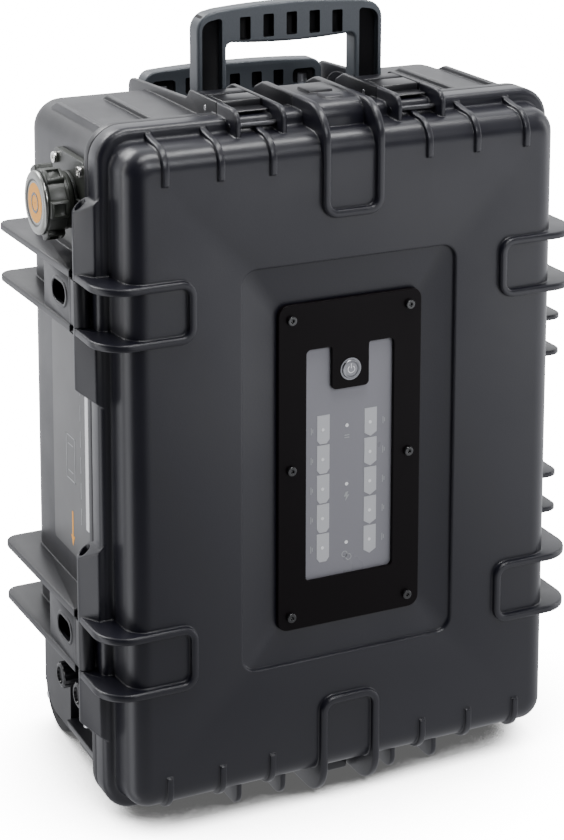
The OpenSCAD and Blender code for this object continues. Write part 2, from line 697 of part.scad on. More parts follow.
module bezel_plate() color("#141416") difference() {
  opening_h = 194;
  pocket_slab([-3.6, -0.02]) rounded([bezel_w, bezel_h], 9, [0, face_z]);
  // opening, with a tab left at its top for the button
  pocket_slab([-4, 1]) difference() {
    rounded([78.4, opening_h], 4, [0, face_z]);
    translate([-16.6, face_z + opening_h/2 - 36]) square([33.2, 40]);
  }
  button_cyl([-4, 1], button_r + 1.5);
  for (at = bezel_screw_at) cyl_y([pocket_y - 4, pocket_y + 1], at, screw_hole_r);
}
module bezel_screws() color("#17181a") for (at = bezel_screw_at) difference() {
  union() {
    cyl_y([pocket_y - 6.4, pocket_y - 3.62], at, 3.9);
    cyl_y([pocket_y - 4, pocket_y + 9], at, 2);
  }
  cyl_y([pocket_y - 6.5, pocket_y - 4.6], at, 1.5, $fn = 6);
}
// two columns of charge bars, grown by a margin; columns are [x, half width of bar foot]
module bar_shapes(grow) for (i = [0 : bars - 1], column = [[-22.4, 3], [20.2, 0]])
  pocket_slab([-1, 3]) translate([column[0], face_z + 27.8 - i*125/bars])
    polygon([[-5.6 - grow, 12 + grow], [5.6 + grow, 12 + grow], [5.6 + grow, -8.6],
      [column[1], -12 - grow], [-column[1], -12 - grow], [-5.6 - grow, -8.6]]);
module display_overlay() color("#7d8087") difference() {
  pocket_slab([0.05, 1.05]) rounded(window - [2, 2], 3.5, [0, face_z]);
  button_cyl([-4, 3], button_r + 1.5);
  bar_shapes(0.02);
}
module display_bars() color("#c4c6ca") intersection() {
  block([-40, 40], [pocket_y - 0.15, pocket_y + 2.2], [face_z - 101, face_z + 101]);
  bar_shapes(-0.03);
}
module display_board() color("#1d5b3a") difference() {
  pocket_slab([6, 7.6]) rounded([84, 196], 2, [0, face_z]);
  button_cyl([0, 10], 4);
  for (x = [-38, 38], z = [-92, 92]) cyl_y([pocket_y, pocket_y + 10], [x, face_z + z], 1.6);
}
module display_cover() color("#1b1c1e") difference() {
  pocket_slab([4.05, 22]) rounded([100, 222], 6, [0, face_z]);
  pocket_slab([1, 19.5]) rounded(window - [0.2, 0.2], 4, [0, face_z]);
}
module button_bush() color("#8f9296") difference() {
  union() {
    button_cyl([-3.8, 4], button_r + 1.4);
    button_cyl([1.1, 3.2], button_r + 4);
  }
  button_cyl([-8, 8], button_r + 0.06);
}
module power_button() color("#9b9ea3") {
  button_cyl([-4.6, 1.6], button_r);
  button_cyl([1, 3.4], 2.2);
}
module button_switch() color("#2d2e31") {
  block([-3.5, 3.5], [pocket_y + 4.95, pocket_y + 5.98], [face_z + 73, face_z + 80]);
  button_cyl([5.5, 9], 3.9);
}

// --- inside -----------------------------------------------------------------
stack_z = 150;                 // underside of the lowest cells
stack_x = 84;                  // centre of each stack
pitch = cell_t + 1;
stack_h = cells*pitch;
stack_top = stack_z + stack_h;
terminal_x = 50;               // terminals from the stack centre
tie_at = [for (s = [-1, 1], x = [-76, 76]) [s*stack_x + x, 143.5]];
tray_z = stack_z - 13;
deck_z = stack_top + 14;       // underside of the parts above the stacks
busbar_y = [14.9, 16.95];
busbar_w = 18;

module battery_cells() color("#3d6fa5") for (s = [-1, 1], i = [0 : cells - 1])
  translate([s*stack_x, 0, stack_z + i*pitch]) {
    block([-79, 79], [24, 140], [0, cell_t]);
    for (x = [-terminal_x, terminal_x]) cyl_y([17, 24.5], [x, cell_t/2], 6);
  }
module cell_end_plates() color("#b4b7bb") for (z = [stack_z - 6.2, stack_top - 0.8]) difference() {
  for (s = [-1, 1]) block(around(s*stack_x, 162), [22, 146], [z, z + 6]);
  for (at = tie_at) cyl_z([z - 1, z + 7], at, 1.8);
}
// rods with a head at each end
module cell_tie_rods() color("#c9cacc") for (at = tie_at) {
  cyl_z([stack_z - 9, stack_top + 8], at, 1.75);
  cyl_z([stack_top + 5.3, stack_top + 8], at, 2.5);
  cyl_z([stack_z - 9, stack_z - 6.3], at, 2.4);
}
module cell_busbars() color("#b87333") {
  // each joins two neighbouring cells, alternating between terminal sides
  for (s = [-1, 1], i = [0 : cells - 2])
    block(around(s*stack_x + (i % 2 == 0 ? terminal_x : -terminal_x), busbar_w), busbar_y,
      [stack_z + i*pitch + 6, stack_z + (i + 1)*pitch + cell_t - 6]);
  // link between the stacks
  block([-stack_x + 40, stack_x - 40], [10, 14.8], [stack_z + 8, stack_z + 28]);
  // riser from the last cell to the negative cable
  riser_x = around(-stack_x - terminal_x, busbar_w);
  block(riser_x, busbar_y, [stack_z + (cells - 1)*pitch + 6, stack_top + 12]);
  block(riser_x, [busbar_y[0], 56], [stack_top + 10, stack_top + 12]);
}
module module_tray() color("#a9acb0") {
  block([-168, 168], [16, 150], [tray_z, tray_z + 3]);
  for (x = [-168, 165]) block([x, x + 3], [16, 150], [tray_z, stack_z + 30]);
  block([-168, 168], [147, 150], [tray_z, stack_z + 30]);
}
module foam_pads() color("#4b4e55") {
  pad_z = [stack_z + 60, stack_z + 240];
  for (x = [[-188.6, -163.3], [163.3, 172.3]]) block(x, [30, 130], pad_z);
  for (x = [-120, 40]) block([x, x + 80], [148, 158.5], pad_z);
}
module bms_board() color("#1d5b3a") {
  board_top = deck_z + 8;
  block([-60, 150], [24, 128], [deck_z + 6, board_top]);
  for (i = [0 : 9]) block([-50 + i*19, -40 + i*19], [100, 116], [board_top, board_top + 5]);
  block([-50, -20], [36, 80], [board_top, board_top + 12]);
  for (i = [0, 1], j = [0, 1])
    cyl_z([board_top, board_top + 18], [100 + i*26, 46 + j*28], 9);
}
// plate with fins hanging below it
module bms_heatsink() color("#b4b7bb") {
  block([-64, 154], [20, 132], [deck_z, deck_z + 5.9]);
  for (i = [0 : 11])
    block([-60 + i*18.5, -57 + i*18.5], [22, 130], [deck_z - 5, deck_z + 0.1]);
}
module contactor() color("#202124") {
  block([-150, -98], [92, 138], [deck_z, deck_z + 34]);
  for (x = [-138, -110]) cyl_z([deck_z + 34, deck_z + 40], [x, 115], 5);
}
module main_fuse() color("#d9d4c4") {
  cyl_x([-146, -100], [66, deck_z + 12], 10);
  block([-156, -145], [60, 72], [deck_z + 10, deck_z + 14]);
  block([-101, -90], [43, 72], [deck_z + 10, deck_z + 14]);
}
// cable running right from a contact to x, then down through an elbow to end_z
module cable(contact, x, end_z) {
  cable_r = 4;
  bend = 14;
  y = contact[0];
  z = contact[1];
  cyl_x([-162.9, x], contact, cable_r);
  translate([x, y, z - bend]) rotate([90, 0, 0]) rotate_extrude(angle = 90)
    translate([bend, 0]) circle(cable_r);
  cyl_z([end_z, z - bend], [x + bend, y], cable_r);
}
module cable_positive() color("#a32020") cable(power_at[1], -110, deck_z + 14.1);
module cable_negative() color("#1a1a1c") cable(power_at[0], -148, deck_z - 1.9);

base_shell();
lid_shell();
lid_gasket();
hinge_pins();
latch_top_left();
latch_top_right();
latch_bottom_left();
latch_bottom_right();
latch_side_upper();
latch_side_lower();
latch_pivot_pins();
latch_strike_rods();
carry_handle();
side_handle();
handle_pins();
trolley_grip();
trolley_inner_tubes();
trolley_mid_tubes();
trolley_outer_tubes();
trolley_collar();
trolley_foot_bracket();
wheel_bracket_left();
wheel_bracket_right();
wheel_axles();
wheel_hub_left();
wheel_hub_right();
wheel_tyre_left();
wheel_tyre_right();
connector_flange();
connector_screws();
connector_socket();
connector_contacts();
connector_cap();
cap_retainer();
port_bodies();
port_cap_front();
port_cap_rear();
side_label();
bezel_plate();
bezel_screws();
display_overlay();
display_bars();
display_board();
display_cover();
button_bush();
button_switch();
power_button();
battery_cells();
cell_end_plates();
cell_tie_rods();
cell_busbars();
module_tray();
foam_pads();
bms_board();
bms_heatsink();
contactor();
main_fuse();
cable_positive();
cable_negative();
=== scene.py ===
import bpy
import bmesh
import json
import math
import numpy as np
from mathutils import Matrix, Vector


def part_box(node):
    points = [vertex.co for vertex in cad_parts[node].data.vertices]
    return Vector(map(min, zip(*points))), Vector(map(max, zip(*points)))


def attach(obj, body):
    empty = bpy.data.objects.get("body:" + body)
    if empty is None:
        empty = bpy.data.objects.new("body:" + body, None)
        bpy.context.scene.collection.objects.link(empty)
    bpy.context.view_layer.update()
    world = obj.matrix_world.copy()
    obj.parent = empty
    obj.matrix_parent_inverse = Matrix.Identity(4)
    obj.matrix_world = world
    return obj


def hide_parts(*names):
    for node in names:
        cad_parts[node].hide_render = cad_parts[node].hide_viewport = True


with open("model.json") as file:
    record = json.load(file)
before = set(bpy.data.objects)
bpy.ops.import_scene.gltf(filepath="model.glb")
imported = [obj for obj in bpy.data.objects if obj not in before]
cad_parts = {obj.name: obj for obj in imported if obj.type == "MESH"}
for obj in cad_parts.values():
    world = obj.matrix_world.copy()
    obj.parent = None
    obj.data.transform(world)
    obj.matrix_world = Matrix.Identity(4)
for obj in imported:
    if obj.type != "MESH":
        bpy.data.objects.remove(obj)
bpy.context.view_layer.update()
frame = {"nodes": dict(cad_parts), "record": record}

ZC = 292.0
NODES = frame["nodes"]

# ------------------------------------------------------------------ materials


def link(nt, a, b):
    nt.links.new(a, b)


def node(nt, kind, **kw):
    n = nt.nodes.new(kind)
    for k, v in kw.items():
        if k in n.inputs:
            n.inputs[k].default_value = v
        else:
            setattr(n, k, v)
    return n


def base_mat(name):
    m = bpy.data.materials.new(name)
    m.use_nodes = True
    nt = m.node_tree
    bs = nt.nodes["Principled BSDF"]
    tc = node(nt, "ShaderNodeTexCoord")
    return m, nt, bs, tc


def noise(nt, tc, scale, detail=3.0, rough=0.55, stretch=None):
    n = node(nt, "ShaderNodeTexNoise")
    n.inputs["Scale"].default_value = scale
    n.inputs["Detail"].default_value = detail
    n.inputs["Roughness"].default_value = rough
    if stretch:
        mp = node(nt, "ShaderNodeMapping")
        mp.inputs["Scale"].default_value = stretch
        link(nt, tc.outputs["Object"], mp.inputs["Vector"])
        link(nt, mp.outputs["Vector"], n.inputs["Vector"])
    else:
        link(nt, tc.outputs["Object"], n.inputs["Vector"])
    return n


def ramp(nt, src, lo, hi, a=0.3, b=0.7):
    r = node(nt, "ShaderNodeMapRange")
    r.inputs["From Min"].default_value = a
    r.inputs["From Max"].default_value = b
    r.inputs["To Min"].default_value = lo
    r.inputs["To Max"].default_value = hi
    link(nt, src, r.inputs["Value"])
    return r.outputs["Result"]


def two_tone(nt, fac, c0, c1):
    mx = node(nt, "ShaderNodeMix", data_type="RGBA")
    link(nt, fac, mx.inputs["Factor"])
    mx.inputs["A"].default_value = (*c0, 1)
    mx.inputs["B"].default_value = (*c1, 1)
    return mx.outputs["Result"]


def plastic(name, col, rough=0.45, grain=0.22, scale=900.0, var=0.16, round_r=0.0, spec=0.5, coat=0.0):
    m, nt, bs, tc = base_mat(name)
    fine = noise(nt, tc, scale, 2.0, 0.6)
    broad = noise(nt, tc, 14.0, 4.0, 0.6)
    c0 = [c * (1 - var) for c in col]
    c1 = [c * (1 + var) for c in col]
    add = node(nt, "ShaderNodeMath", operation="ADD")
    half = node(nt, "ShaderNodeMath", operation="MULTIPLY")
    link(nt, fine.outputs["Fac"], add.inputs[0])
    link(nt, broad.outputs["Fac"], add.inputs[1])
    link(nt, add.outputs[0], half.inputs[0])
    half.inputs[1].default_value = 0.5
    link(nt, two_tone(nt, half.outputs[0], c0, c1), bs.inputs["Base Color"])
    link(nt, ramp(nt, broad.outputs["Fac"], rough - 0.05, rough + 0.05), bs.inputs["Roughness"])
    bs.inputs["Specular IOR Level"].default_value = spec
    bs.inputs["Coat Weight"].default_value = coat
    bs.inputs["Coat Roughness"].default_value = 0.25
    bump = node(nt, "ShaderNodeBump")
    bump.inputs["Strength"].default_value = grain
    bump.inputs["Distance"].default_value = 0.0002
    link(nt, fine.outputs["Fac"], bump.inputs["Height"])
    if round_r:
        bv = node(nt, "ShaderNodeBevel", samples=4)
        bv.inputs["Radius"].default_value = round_r
        link(nt, bv.outputs["Normal"], bump.inputs["Normal"])
    link(nt, bump.outputs["Normal"], bs.inputs["Normal"])
    return m


def metal(name, col, rough=0.28, stretch=(1, 1, 30), scale=160.0, var=0.08, aniso=0.3):
    m, nt, bs, tc = base_mat(name)
    n = noise(nt, tc, scale, 4.0, 0.6, stretch)
    c0 = [c * (1 - var) for c in col]
    c1 = [min(1, c * (1 + var)) for c in col]
    link(nt, two_tone(nt, n.outputs["Fac"], c0, c1), bs.inputs["Base Color"])
    link(nt, ramp(nt, n.outputs["Fac"], rough - 0.06, rough + 0.08), bs.inputs["Roughness"])
    bs.inputs["Metallic"].default_value = 1.0
    bs.inputs["Anisotropic"].default_value = aniso
    bump = node(nt, "ShaderNodeBump")
    bump.inputs["Strength"].default_value = 0.08
    bump.inputs["Distance"].default_value = 0.0001
    link(nt, n.outputs["Fac"], bump.inputs["Height"])
    link(nt, bump.outputs["Normal"], bs.inputs["Normal"])
    return m


def weave(name, col, scale=500.0):
    m, nt, bs, tc = base_mat(name)
    v = node(nt, "ShaderNodeTexVoronoi")
    v.inputs["Scale"].default_value = scale
    link(nt, tc.outputs["Object"], v.inputs["Vector"])
    link(nt, two_tone(nt, v.outputs["Distance"], [c * 1.3 for c in col], [c * 0.6 for c in col]), bs.inputs["Base Color"])
    bs.inputs["Roughness"].default_value = 0.9
    bump = node(nt, "ShaderNodeBump")
    bump.inputs["Strength"].default_value = 0.5
    bump.inputs["Distance"].default_value = 0.0008
    link(nt, v.outputs["Distance"], bump.inputs["Height"])
    link(nt, bump.outputs["Normal"], bs.inputs["Normal"])
    return m


SHELL = plastic("shell_grain", (0.0076, 0.0076, 0.0130), 0.345, 0.30, 800.0, 0.22, 0.0017)
SHELL_BASE = plastic("shell_base_grain", (0.0086, 0.0086, 0.0120), 0.38, 0.30, 800.0, 0.22, 0.0015)
MATS = {
    "shell_black": SHELL,
    "seal_rubber": plastic("seal_rubber", (0.012, 0.012, 0.013), 0.7, 0.1),
    "pin_steel": metal("pin_steel", (0.62, 0.62, 0.64), 0.25),
    "latch_plastic": plastic("latch_smooth", (0.0085, 0.0085, 0.0105), 0.33, 0.06, 600.0, 0.15),
    "rod_steel": metal("rod_dark", (0.07, 0.07, 0.075), 0.35),
    "handle_plastic": plastic("handle_grain", (0.052, 0.060, 0.071), 0.42, 0.45, 700.0, 0.28),
    "tube_aluminium": metal("tube_aluminium", (0.74, 0.75, 0.77), 0.3, (1, 1, 0.05), 300.0),
    "bracket_plastic": plastic("bracket_grain", (0.015, 0.015, 0.018), 0.42, 0.2, 800.0, 0.2),
    "wheel_hub": plastic("wheel_hub", (0.07, 0.07, 0.074), 0.45, 0.15),
    "wheel_tyre": plastic("wheel_tyre", (0.010, 0.010, 0.011), 0.72, 0.5, 500.0, 0.3),
    "connector_body": plastic("olive_coat", (0.030, 0.033, 0.028), 0.36, 0.15, 900.0, 0.18),
    "connector_inside": plastic("insert_plastic", (0.030, 0.033, 0.030), 0.5, 0.15),
    "contact_brass": metal("contact_brass", (0.8, 0.58, 0.26), 0.22),
    "screw_steel": metal("screw_steel", (0.7, 0.69, 0.67), 0.2),
    "screw_black": plastic("screw_black", (0.008, 0.008, 0.009), 0.18, 0.03, 900.0, 0.1, 0.0, 0.7),
    "bezel_black": plastic("bezel_satin", (0.0035, 0.0022, 0.0028), 0.36, 0.06, 1100.0, 0.12, 0.0, 0.09),
    "overlay_grey": plastic("overlay_film", (0.215, 0.213, 0.238), 0.30, 0.03, 700.0, 0.05),
    "bar_light": plastic("bar_window", (0.50, 0.505, 0.525), 0.35, 0.03, 700.0, 0.05),
    "button_metal": metal("button_satin", (0.22, 0.222, 0.235), 0.33, (30, 1, 1), 90.0, 0.06),
    "board_green": plastic("board_mask", (0.012, 0.11, 0.05), 0.3, 0.05),
    "cover_black": plastic("cover_black", (0.02, 0.02, 0.022), 0.45, 0.15),
    "label_grey": plastic("label_film", (0.075, 0.075, 0.077), 0.34, 0.03, 700.0, 0.06),
    "cell_blue": plastic("cell_wrap", (0.02, 0.09, 0.26), 0.28, 0.06, 300.0, 0.12),
    "plate_aluminium": metal("plate_aluminium", (0.72, 0.73, 0.74), 0.35, (1, 30, 1)),
    "copper": metal("copper", (0.78, 0.42, 0.26), 0.28, (30, 1, 1)),
    "foam": weave("foam", (0.05, 0.05, 0.055)),
    "fuse_ceramic": plastic("fuse_ceramic", (0.6, 0.56, 0.46), 0.35, 0.1),
    "cable_red": plastic("cable_red", (0.30, 0.012, 0.012), 0.45, 0.1),
    "cable_black": plastic("cable_black", (0.012, 0.012, 0.013), 0.45, 0.1),
}
WHITE_INK = plastic("white_ink", (0.80, 0.80, 0.82), 0.5, 0.05, 800.0, 0.05)
LED_WHITE = plastic("led_lens", (0.85, 0.85, 0.86), 0.2, 0.02, 800.0, 0.03)
ORANGE = plastic("orange_film", (0.92, 0.40, 0.045), 0.5, 0.05, 700.0, 0.08, 0.0, 0.25)
TEXT_GREY = plastic("grey_ink", (0.36, 0.37, 0.38), 0.5, 0.05, 800.0, 0.08)
RIM_METAL = metal("cap_rim", (0.30, 0.305, 0.29), 0.30, (30, 1, 1), 90.0)

for rec in frame["record"]["subparts"]:
    o = NODES[rec["node"]]
    o.data.materials.clear()
    o.data.materials.append(MATS[rec["material_slot"]])
SLOT = {r["node"]: r["material_slot"] for r in frame["record"]["subparts"]}

# ------------------------------------------------------------------ geometry helpers (millimetres)


class Geo:
    def __init__(self):
        self.v, self.f, self.m = [], [], []

    def add(self, verts, faces, mat=0):
        b = len(self.v)
        self.v += [tuple(map(float, p)) for p in verts]
        self.f += [[i + b for i in f] for f in faces]
        self.m += [mat] * len(faces)
        return self

    def obj(self, name, mats, angle=32.0, loc=(0, 0, 0)):
        me = bpy.data.meshes.new(name)
        me.from_pydata([(x / 1000, y / 1000, z / 1000) for x, y, z in self.v], [], self.f)
        for mt in mats if isinstance(mats, (list, tuple)) else [mats]:
            me.materials.append(mt)
        me.polygons.foreach_set("material_index", self.m)
        me.validate()
        bm = bmesh.new()
        bm.from_mesh(me)
        bmesh.ops.recalc_face_normals(bm, faces=bm.faces)
        bm.to_mesh(me)
        bm.free()
        me.polygons.foreach_set("use_smooth", [True] * len(me.polygons))
        me.set_sharp_from_angle(angle=math.radians(angle))
        me.update()
        o = bpy.data.objects.new(name, me)
        bpy.context.scene.collection.objects.link(o)
        return o


def area2(p):
    return sum(p[i - 1][0] * p[i][1] - p[i][0] * p[i - 1][1] for i in range(len(p)))


def ccw(p):
    return p if area2(p) > 0 else p[::-1]


def inset(poly, d):
    n, out = len(poly), []
    for i in range(n):
        a, b, c = np.array(poly[i - 1]), np.array(poly[i]), np.array(poly[(i + 1) % n])
        e1, e2 = b - a, c - b
        e1 = e1 / (np.linalg.norm(e1) + 1e-12)
        e2 = e2 / (np.linalg.norm(e2) + 1e-12)
        n1, n2 = np.array([-e1[1], e1[0]]), np.array([-e2[1], e2[0]])
        s = n1 + n2
        out.append(tuple(b + s * d / max(1 + float(n1 @ n2), 0.4)))
    return out


def fil(pts, seg=6):
    """polygon with filleted corners: points are (x, y) or (x, y, r)"""
    out, n = [], len(pts)
    for i in range(n):
        p = np.array(pts[i][:2], float)
        r = pts[i][2] if len(pts[i]) > 2 else 0
        if r <= 0:
            out.append(tuple(p))
            continue
        a, c = np.array(pts[i - 1][:2], float), np.array(pts[(i + 1) % n][:2], float)
        u, w = (a - p), (c - p)
        lu, lw = np.linalg.norm(u), np.linalg.norm(w)
        u, w = u / lu, w / lw
        ang = math.acos(max(-1, min(1, float(u @ w))))
        t = r / math.tan(ang / 2)
        k = min(1.0, 0.499 * min(lu, lw) * 2 / max(t, 1e-9)) if t > 0.98 * min(lu, lw) else 1.0
        t, r = t * k, r * k
        p0, p1 = p + u * t, p + w * t
        bis = (u + w) / np.linalg.norm(u + w)
        c0 = p + bis * (r / math.sin(ang / 2))
        a0, a1 = math.atan2(*(p0 - c0)[::-1]), math.atan2(*(p1 - c0)[::-1])
        da = (a1 - a0 + math.pi) % (2 * math.pi) - math.pi
        for s in range(seg + 1):
            q = a0 + da * s / seg
            out.append((c0[0] + r * math.cos(q), c0[1] + r * math.sin(q)))
    return out


def place(axis, u, v, a):
    return {"x": (a, u, v), "y": (u, a, v), "z": (u, v, a)}[axis]


def prism(g, outline, axis, a0, a1, b0=1.0, b1=None, seg=3, mat=0, top=None, bot=None):
    """outline extruded along axis from a0 to a1, edges rounded b0 at the a0 end and b1 at the a1 end.
    axis x: outline (y, z); y: (x, z); z: (x, y). top/bot may give the end position per outline point."""
    b1 = b0 if b1 is None else b1
    p = ccw(outline)
    rings = []
    for s in range(seg + 1):
        if b0 <= 0 and s:
            break
        q = math.pi / 2 * s / seg
        rings.append((inset(p, b0 * (1 - math.sin(q))) if b0 > 0 else p, a0, b0 * (1 - math.cos(q)), 0))
    for s in range(seg + 1):
        if b1 <= 0 and s:
            break
        q = math.pi / 2 * (1 - s / seg)
        rings.append((inset(p, b1 * (1 - math.sin(q))) if b1 > 0 else p, a1, -b1 * (1 - math.cos(q)), 1))
    verts, n = [], len(p)
    for ring, a, d, end in rings:
        for (u, v) in ring:
            aa = a
            if end == 0 and bot:
                aa = bot(u, v)
            if end == 1 and top:
                aa = top(u, v)
            verts.append(place(axis, u, v, aa + d))
    faces = []
    for r in range(len(rings) - 1):
        for i in range(n):
            j = (i + 1) % n
            faces.append([r * n + i, r * n + j, (r + 1) * n + j, (r + 1) * n + i])
    faces.append(list(range(n))[::-1])
    faces.append([(len(rings) - 1) * n + i for i in range(n)])
    g.add(verts, faces, mat)
    return g


def rrect(hw, hh, r, cx=0.0, cz=ZC, seg=9):
    r = max(0.05, min(r, hw - 0.01, hh - 0.01))
    out = []
    for (sx, sz, a0) in ((1, 1, 0), (-1, 1, 90), (-1, -1, 180), (1, -1, 270)):
        for s in range(seg + 1):
            a = math.radians(a0 + 90.0 * s / seg)
            out.append((cx + sx * (hw - r) + r * math.cos(a), cz + sz * (hh - r) + r * math.sin(a)))
    return out


def loft(g, rings, close=False, cap0=False, cap1=False, mat=0, axis="y"):
    """rings: list of (points2d, position)"""
    n = len(rings[0][0])
    verts = [place(axis, u, v, a) for pts, a in rings for (u, v) in pts]
    faces = []
    last = len(rings) if close else len(rings) - 1
    for r in range(last):
        q = (r + 1) % len(rings)
        for i in range(n):
            j = (i + 1) % n
            faces.append([r * n + i, r * n + j, q * n + j, q * n + i])
    if cap0:
        faces.append(list(range(n))[::-1])
    if cap1:
        faces.append([(len(rings) - 1) * n + i for i in range(n)])
    return g.add(verts, faces, mat)


def lathe(g, prof, axis, c, seg=48, mat=0, mod=None):
    """profile [(a, r)] along axis turned round centre c (the two other coordinates)"""
    rings = []
    for a, r in prof:
        rings.append(([(c[0] + (r if mod is None else mod(a, r, 2 * math.pi * i / seg)) * math.cos(2 * math.pi * i / seg),
                        c[1] + (r if mod is None else mod(a, r, 2 * math.pi * i / seg)) * math.sin(2 * math.pi * i / seg))
                       for i in range(seg)], a))
    return loft(g, rings, cap0=True, cap1=True, mat=mat, axis=axis)


def sweep(g, path, hw, r, depth, mat=0, seg=3, caps=True):
    """a rib: path of (point, inward direction); width 2*hw, outer edges rounded r; depth number or list"""
    P = [np.array(p, float) for p, d in path]
    D = [np.array(d, float) / np.linalg.norm(d) for p, d in path]
    n = len(P)
    dep = depth if isinstance(depth, (list, tuple)) else [depth] * n
    sec = [(-hw, None)] + [(-hw + r * (1 - math.cos(math.pi / 2 * s / seg)), r * (1 - math.sin(math.pi / 2 * s / seg))) for s in range(seg + 1)]
    sec += [(-w, d) for (w, d) in sec[:0:-1]] + [(hw, None)]
    verts = []
    for i in range(n):
        t = P[min(i + 1, n - 1)] - P[max(i - 1, 0)]
        t /= np.linalg.norm(t)
        w = np.cross(t, D[i])
        w /= np.linalg.norm(w)
        for (a, d) in sec:
            verts.append(P[i] + w * a + D[i] * (dep[i] if d is None else d))
    k = len(sec)
    faces = []
    for i in range(n - 1):
        for j in range(k):
            q = (j + 1) % k
            faces.append([i * k + j, i * k + q, (i + 1) * k + q, (i + 1) * k + j])
    if caps:
        faces.append(list(range(k)))
        faces.append([(n - 1) * k + j for j in range(k)][::-1])
    return g.add(verts, faces, mat)


def solid(outline, axis, a0, a1, b=0.0, name="tmp"):
    g = Geo()
    prism(g, outline, axis, a0, a1, b)
    return g.obj(name, SHELL)


def rect(u0, u1, v0, v1, r=0.0, seg=5):
    return fil([(u0, v0, r), (u1, v0, r), (u1, v1, r), (u0, v1, r)], seg)


def boolean(a, others, op="DIFFERENCE"):
    for b in others:
        m = a.modifiers.new("b", "BOOLEAN")
        m.operation, m.object, m.solver = op, b, "MANIFOLD"
    dg = bpy.context.evaluated_depsgraph_get()
    me = bpy.data.meshes.new_from_object(a.evaluated_get(dg))
    if len(me.polygons) < 4:
        for m in a.modifiers:
            m.solver = "EXACT"
        dg = bpy.context.evaluated_depsgraph_get()
        me = bpy.data.meshes.new_from_object(a.evaluated_get(dg))
    a.modifiers.clear()
    a.data = me
    for b in others:
        bpy.data.objects.remove(b)
    return a


def bake(o):
    dg = bpy.context.evaluated_depsgraph_get()
    me = bpy.data.meshes.new_from_object(o.evaluated_get(dg))
    o.modifiers.clear()
    o.data = me
    return o


def edge_round(o, width=0.8, angle=35, seg=2, dissolve=True, smooth=35):
    """rounds the sharp edges of a boolean result"""
    bm = bmesh.new()
    bm.from_mesh(o.data)
    bmesh.ops.remove_doubles(bm, verts=bm.verts, dist=1e-5)
    if dissolve:
        bmesh.ops.dissolve_limit(bm, angle_limit=math.radians(1.0), verts=bm.verts, edges=bm.edges, delimit={"NORMAL"})
    bm.to_mesh(o.data)
    bm.free()
    m = o.modifiers.new("bev", "BEVEL")
    m.width, m.segments, m.limit_method, m.angle_limit = width / 1000, seg, "ANGLE", math.radians(angle)
    m.use_clamp_overlap = True
    wn = o.modifiers.new("wn", "WEIGHTED_NORMAL")
    wn.mode, wn.weight, wn.keep_sharp = "FACE_AREA", 60, False
    bake(o)
    o.data.polygons.foreach_set("use_smooth", [True] * len(o.data.polygons))
    o.data.set_sharp_from_angle(angle=math.radians(smooth))
    return o


def join(name, objs):
    """one mesh object from several, materials kept"""
    ctx = bpy.context
    for o in ctx.selected_objects:
        o.select_set(False)
    for o in objs:
        o.select_set(True)
    ctx.view_layer.objects.active = objs[0]
    bpy.ops.object.join()
    objs[0].name = name
    return objs[0]


# ------------------------------------------------------------------ lid shell
FINS = [455.0, 411.0, 174.0, 127.0]
FY, PROUD = -53.4, 5.0
g = Geo()
R = []


def ring(hw, hh, r, y, cz=ZC):
    R.append((rrect(hw, hh, r, 0, cz), y))


ring(200.2, 279.7, 25.2, -0.25)
ring(200.8, 280.3, 25.8, -0.5)
ring(201, 280.5, 26, -1.2)
ring(201, 280.5, 26, -13.8)
for s in range(1, 8):
    a = math.pi / 2 * s / 7
    ring(201 - 5.6 * (1 - math.cos(a)), 280.5 - 5.6 * (1 - math.cos(a)), 26 - 5.6 * (1 - math.cos(a)), -13.8 - 5.6 * math.sin(a))
ring(193.4, 272.4, 19.5, -19.4)
ring(192.3, 270.9, 19.2, -19.9)
ring(191.7, 269.9, 19.0, -21.2)
ring(191.2, 269.2, 19.0, -26)
ring(190.6, 268.6, 19.0, -36.2)
for s in range(1, 11):
    a = math.pi / 2 * s / 10
    k = 17.2 * (1 - math.cos(a))
    ring(190.5 - k, 268.5 - k, max(19 - k * 0.72, 5), -36.2 - 17.2 * math.sin(a))
ring(171.5, 249.5, 5, FY)
ring(96.3, 167.8, 14.1, FY)
for s in range(1, 5):
    a = math.pi / 2 * s / 4
    ring(96.3 - 1.5 * math.sin(a), 167.8 - 1.5 * math.sin(a), 14.1 - 1.5 * math.sin(a), FY + 1.5 * (1 - math.cos(a)))
ring(94.6, 166.1, 12.4, -50.4)
ring(94.3, 165.8, 12.1, -49.8)
ring(93.4, 164.9, 11.4, -49.4)
ring(45, 103, 5, -49.4, 290)
ring(44, 102, 4, -49.2, 290)
ring(44, 102, 4, -45.4, 290)
ring(97.5, 169, 13, -45.4)
ring(98.7, 170.2, 14, -46.6)
ring(98.7, 170.2, 14, -49.3)
ring(100.0, 171.5, 15, -49.4)
ring(174, 252, 5, -49.4)
for s in range(1, 6):
    a = math.pi / 2 * (1 - s / 5)
    k = 12 * (1 - math.cos(a))
    ring(186.5 - k, 264.5 - k, max(15 - k, 4), -37.4 - 12 * math.sin(a))
ring(186.5, 264.5, 15, -1.0)
ring(187.2, 265.2, 15.5, -0.25)
ring(191.5, 271, 16.5, -0.25)
ring(191.5, 271, 16.5, -4)
ring(197.5, 277, 22.5, -4)
ring(197.5, 277, 22.5, -0.25)
loft(g, R, close=True)


def arc(cx, cy, r, a0, a1, n):
    return [(cx + r * math.cos(math.radians(a0 + (a1 - a0) * i / n)), cy + r * math.sin(math.radians(a0 + (a1 - a0) * i / n)),
             math.radians(a0 + (a1 - a0) * i / n)) for i in range(n + 1)]


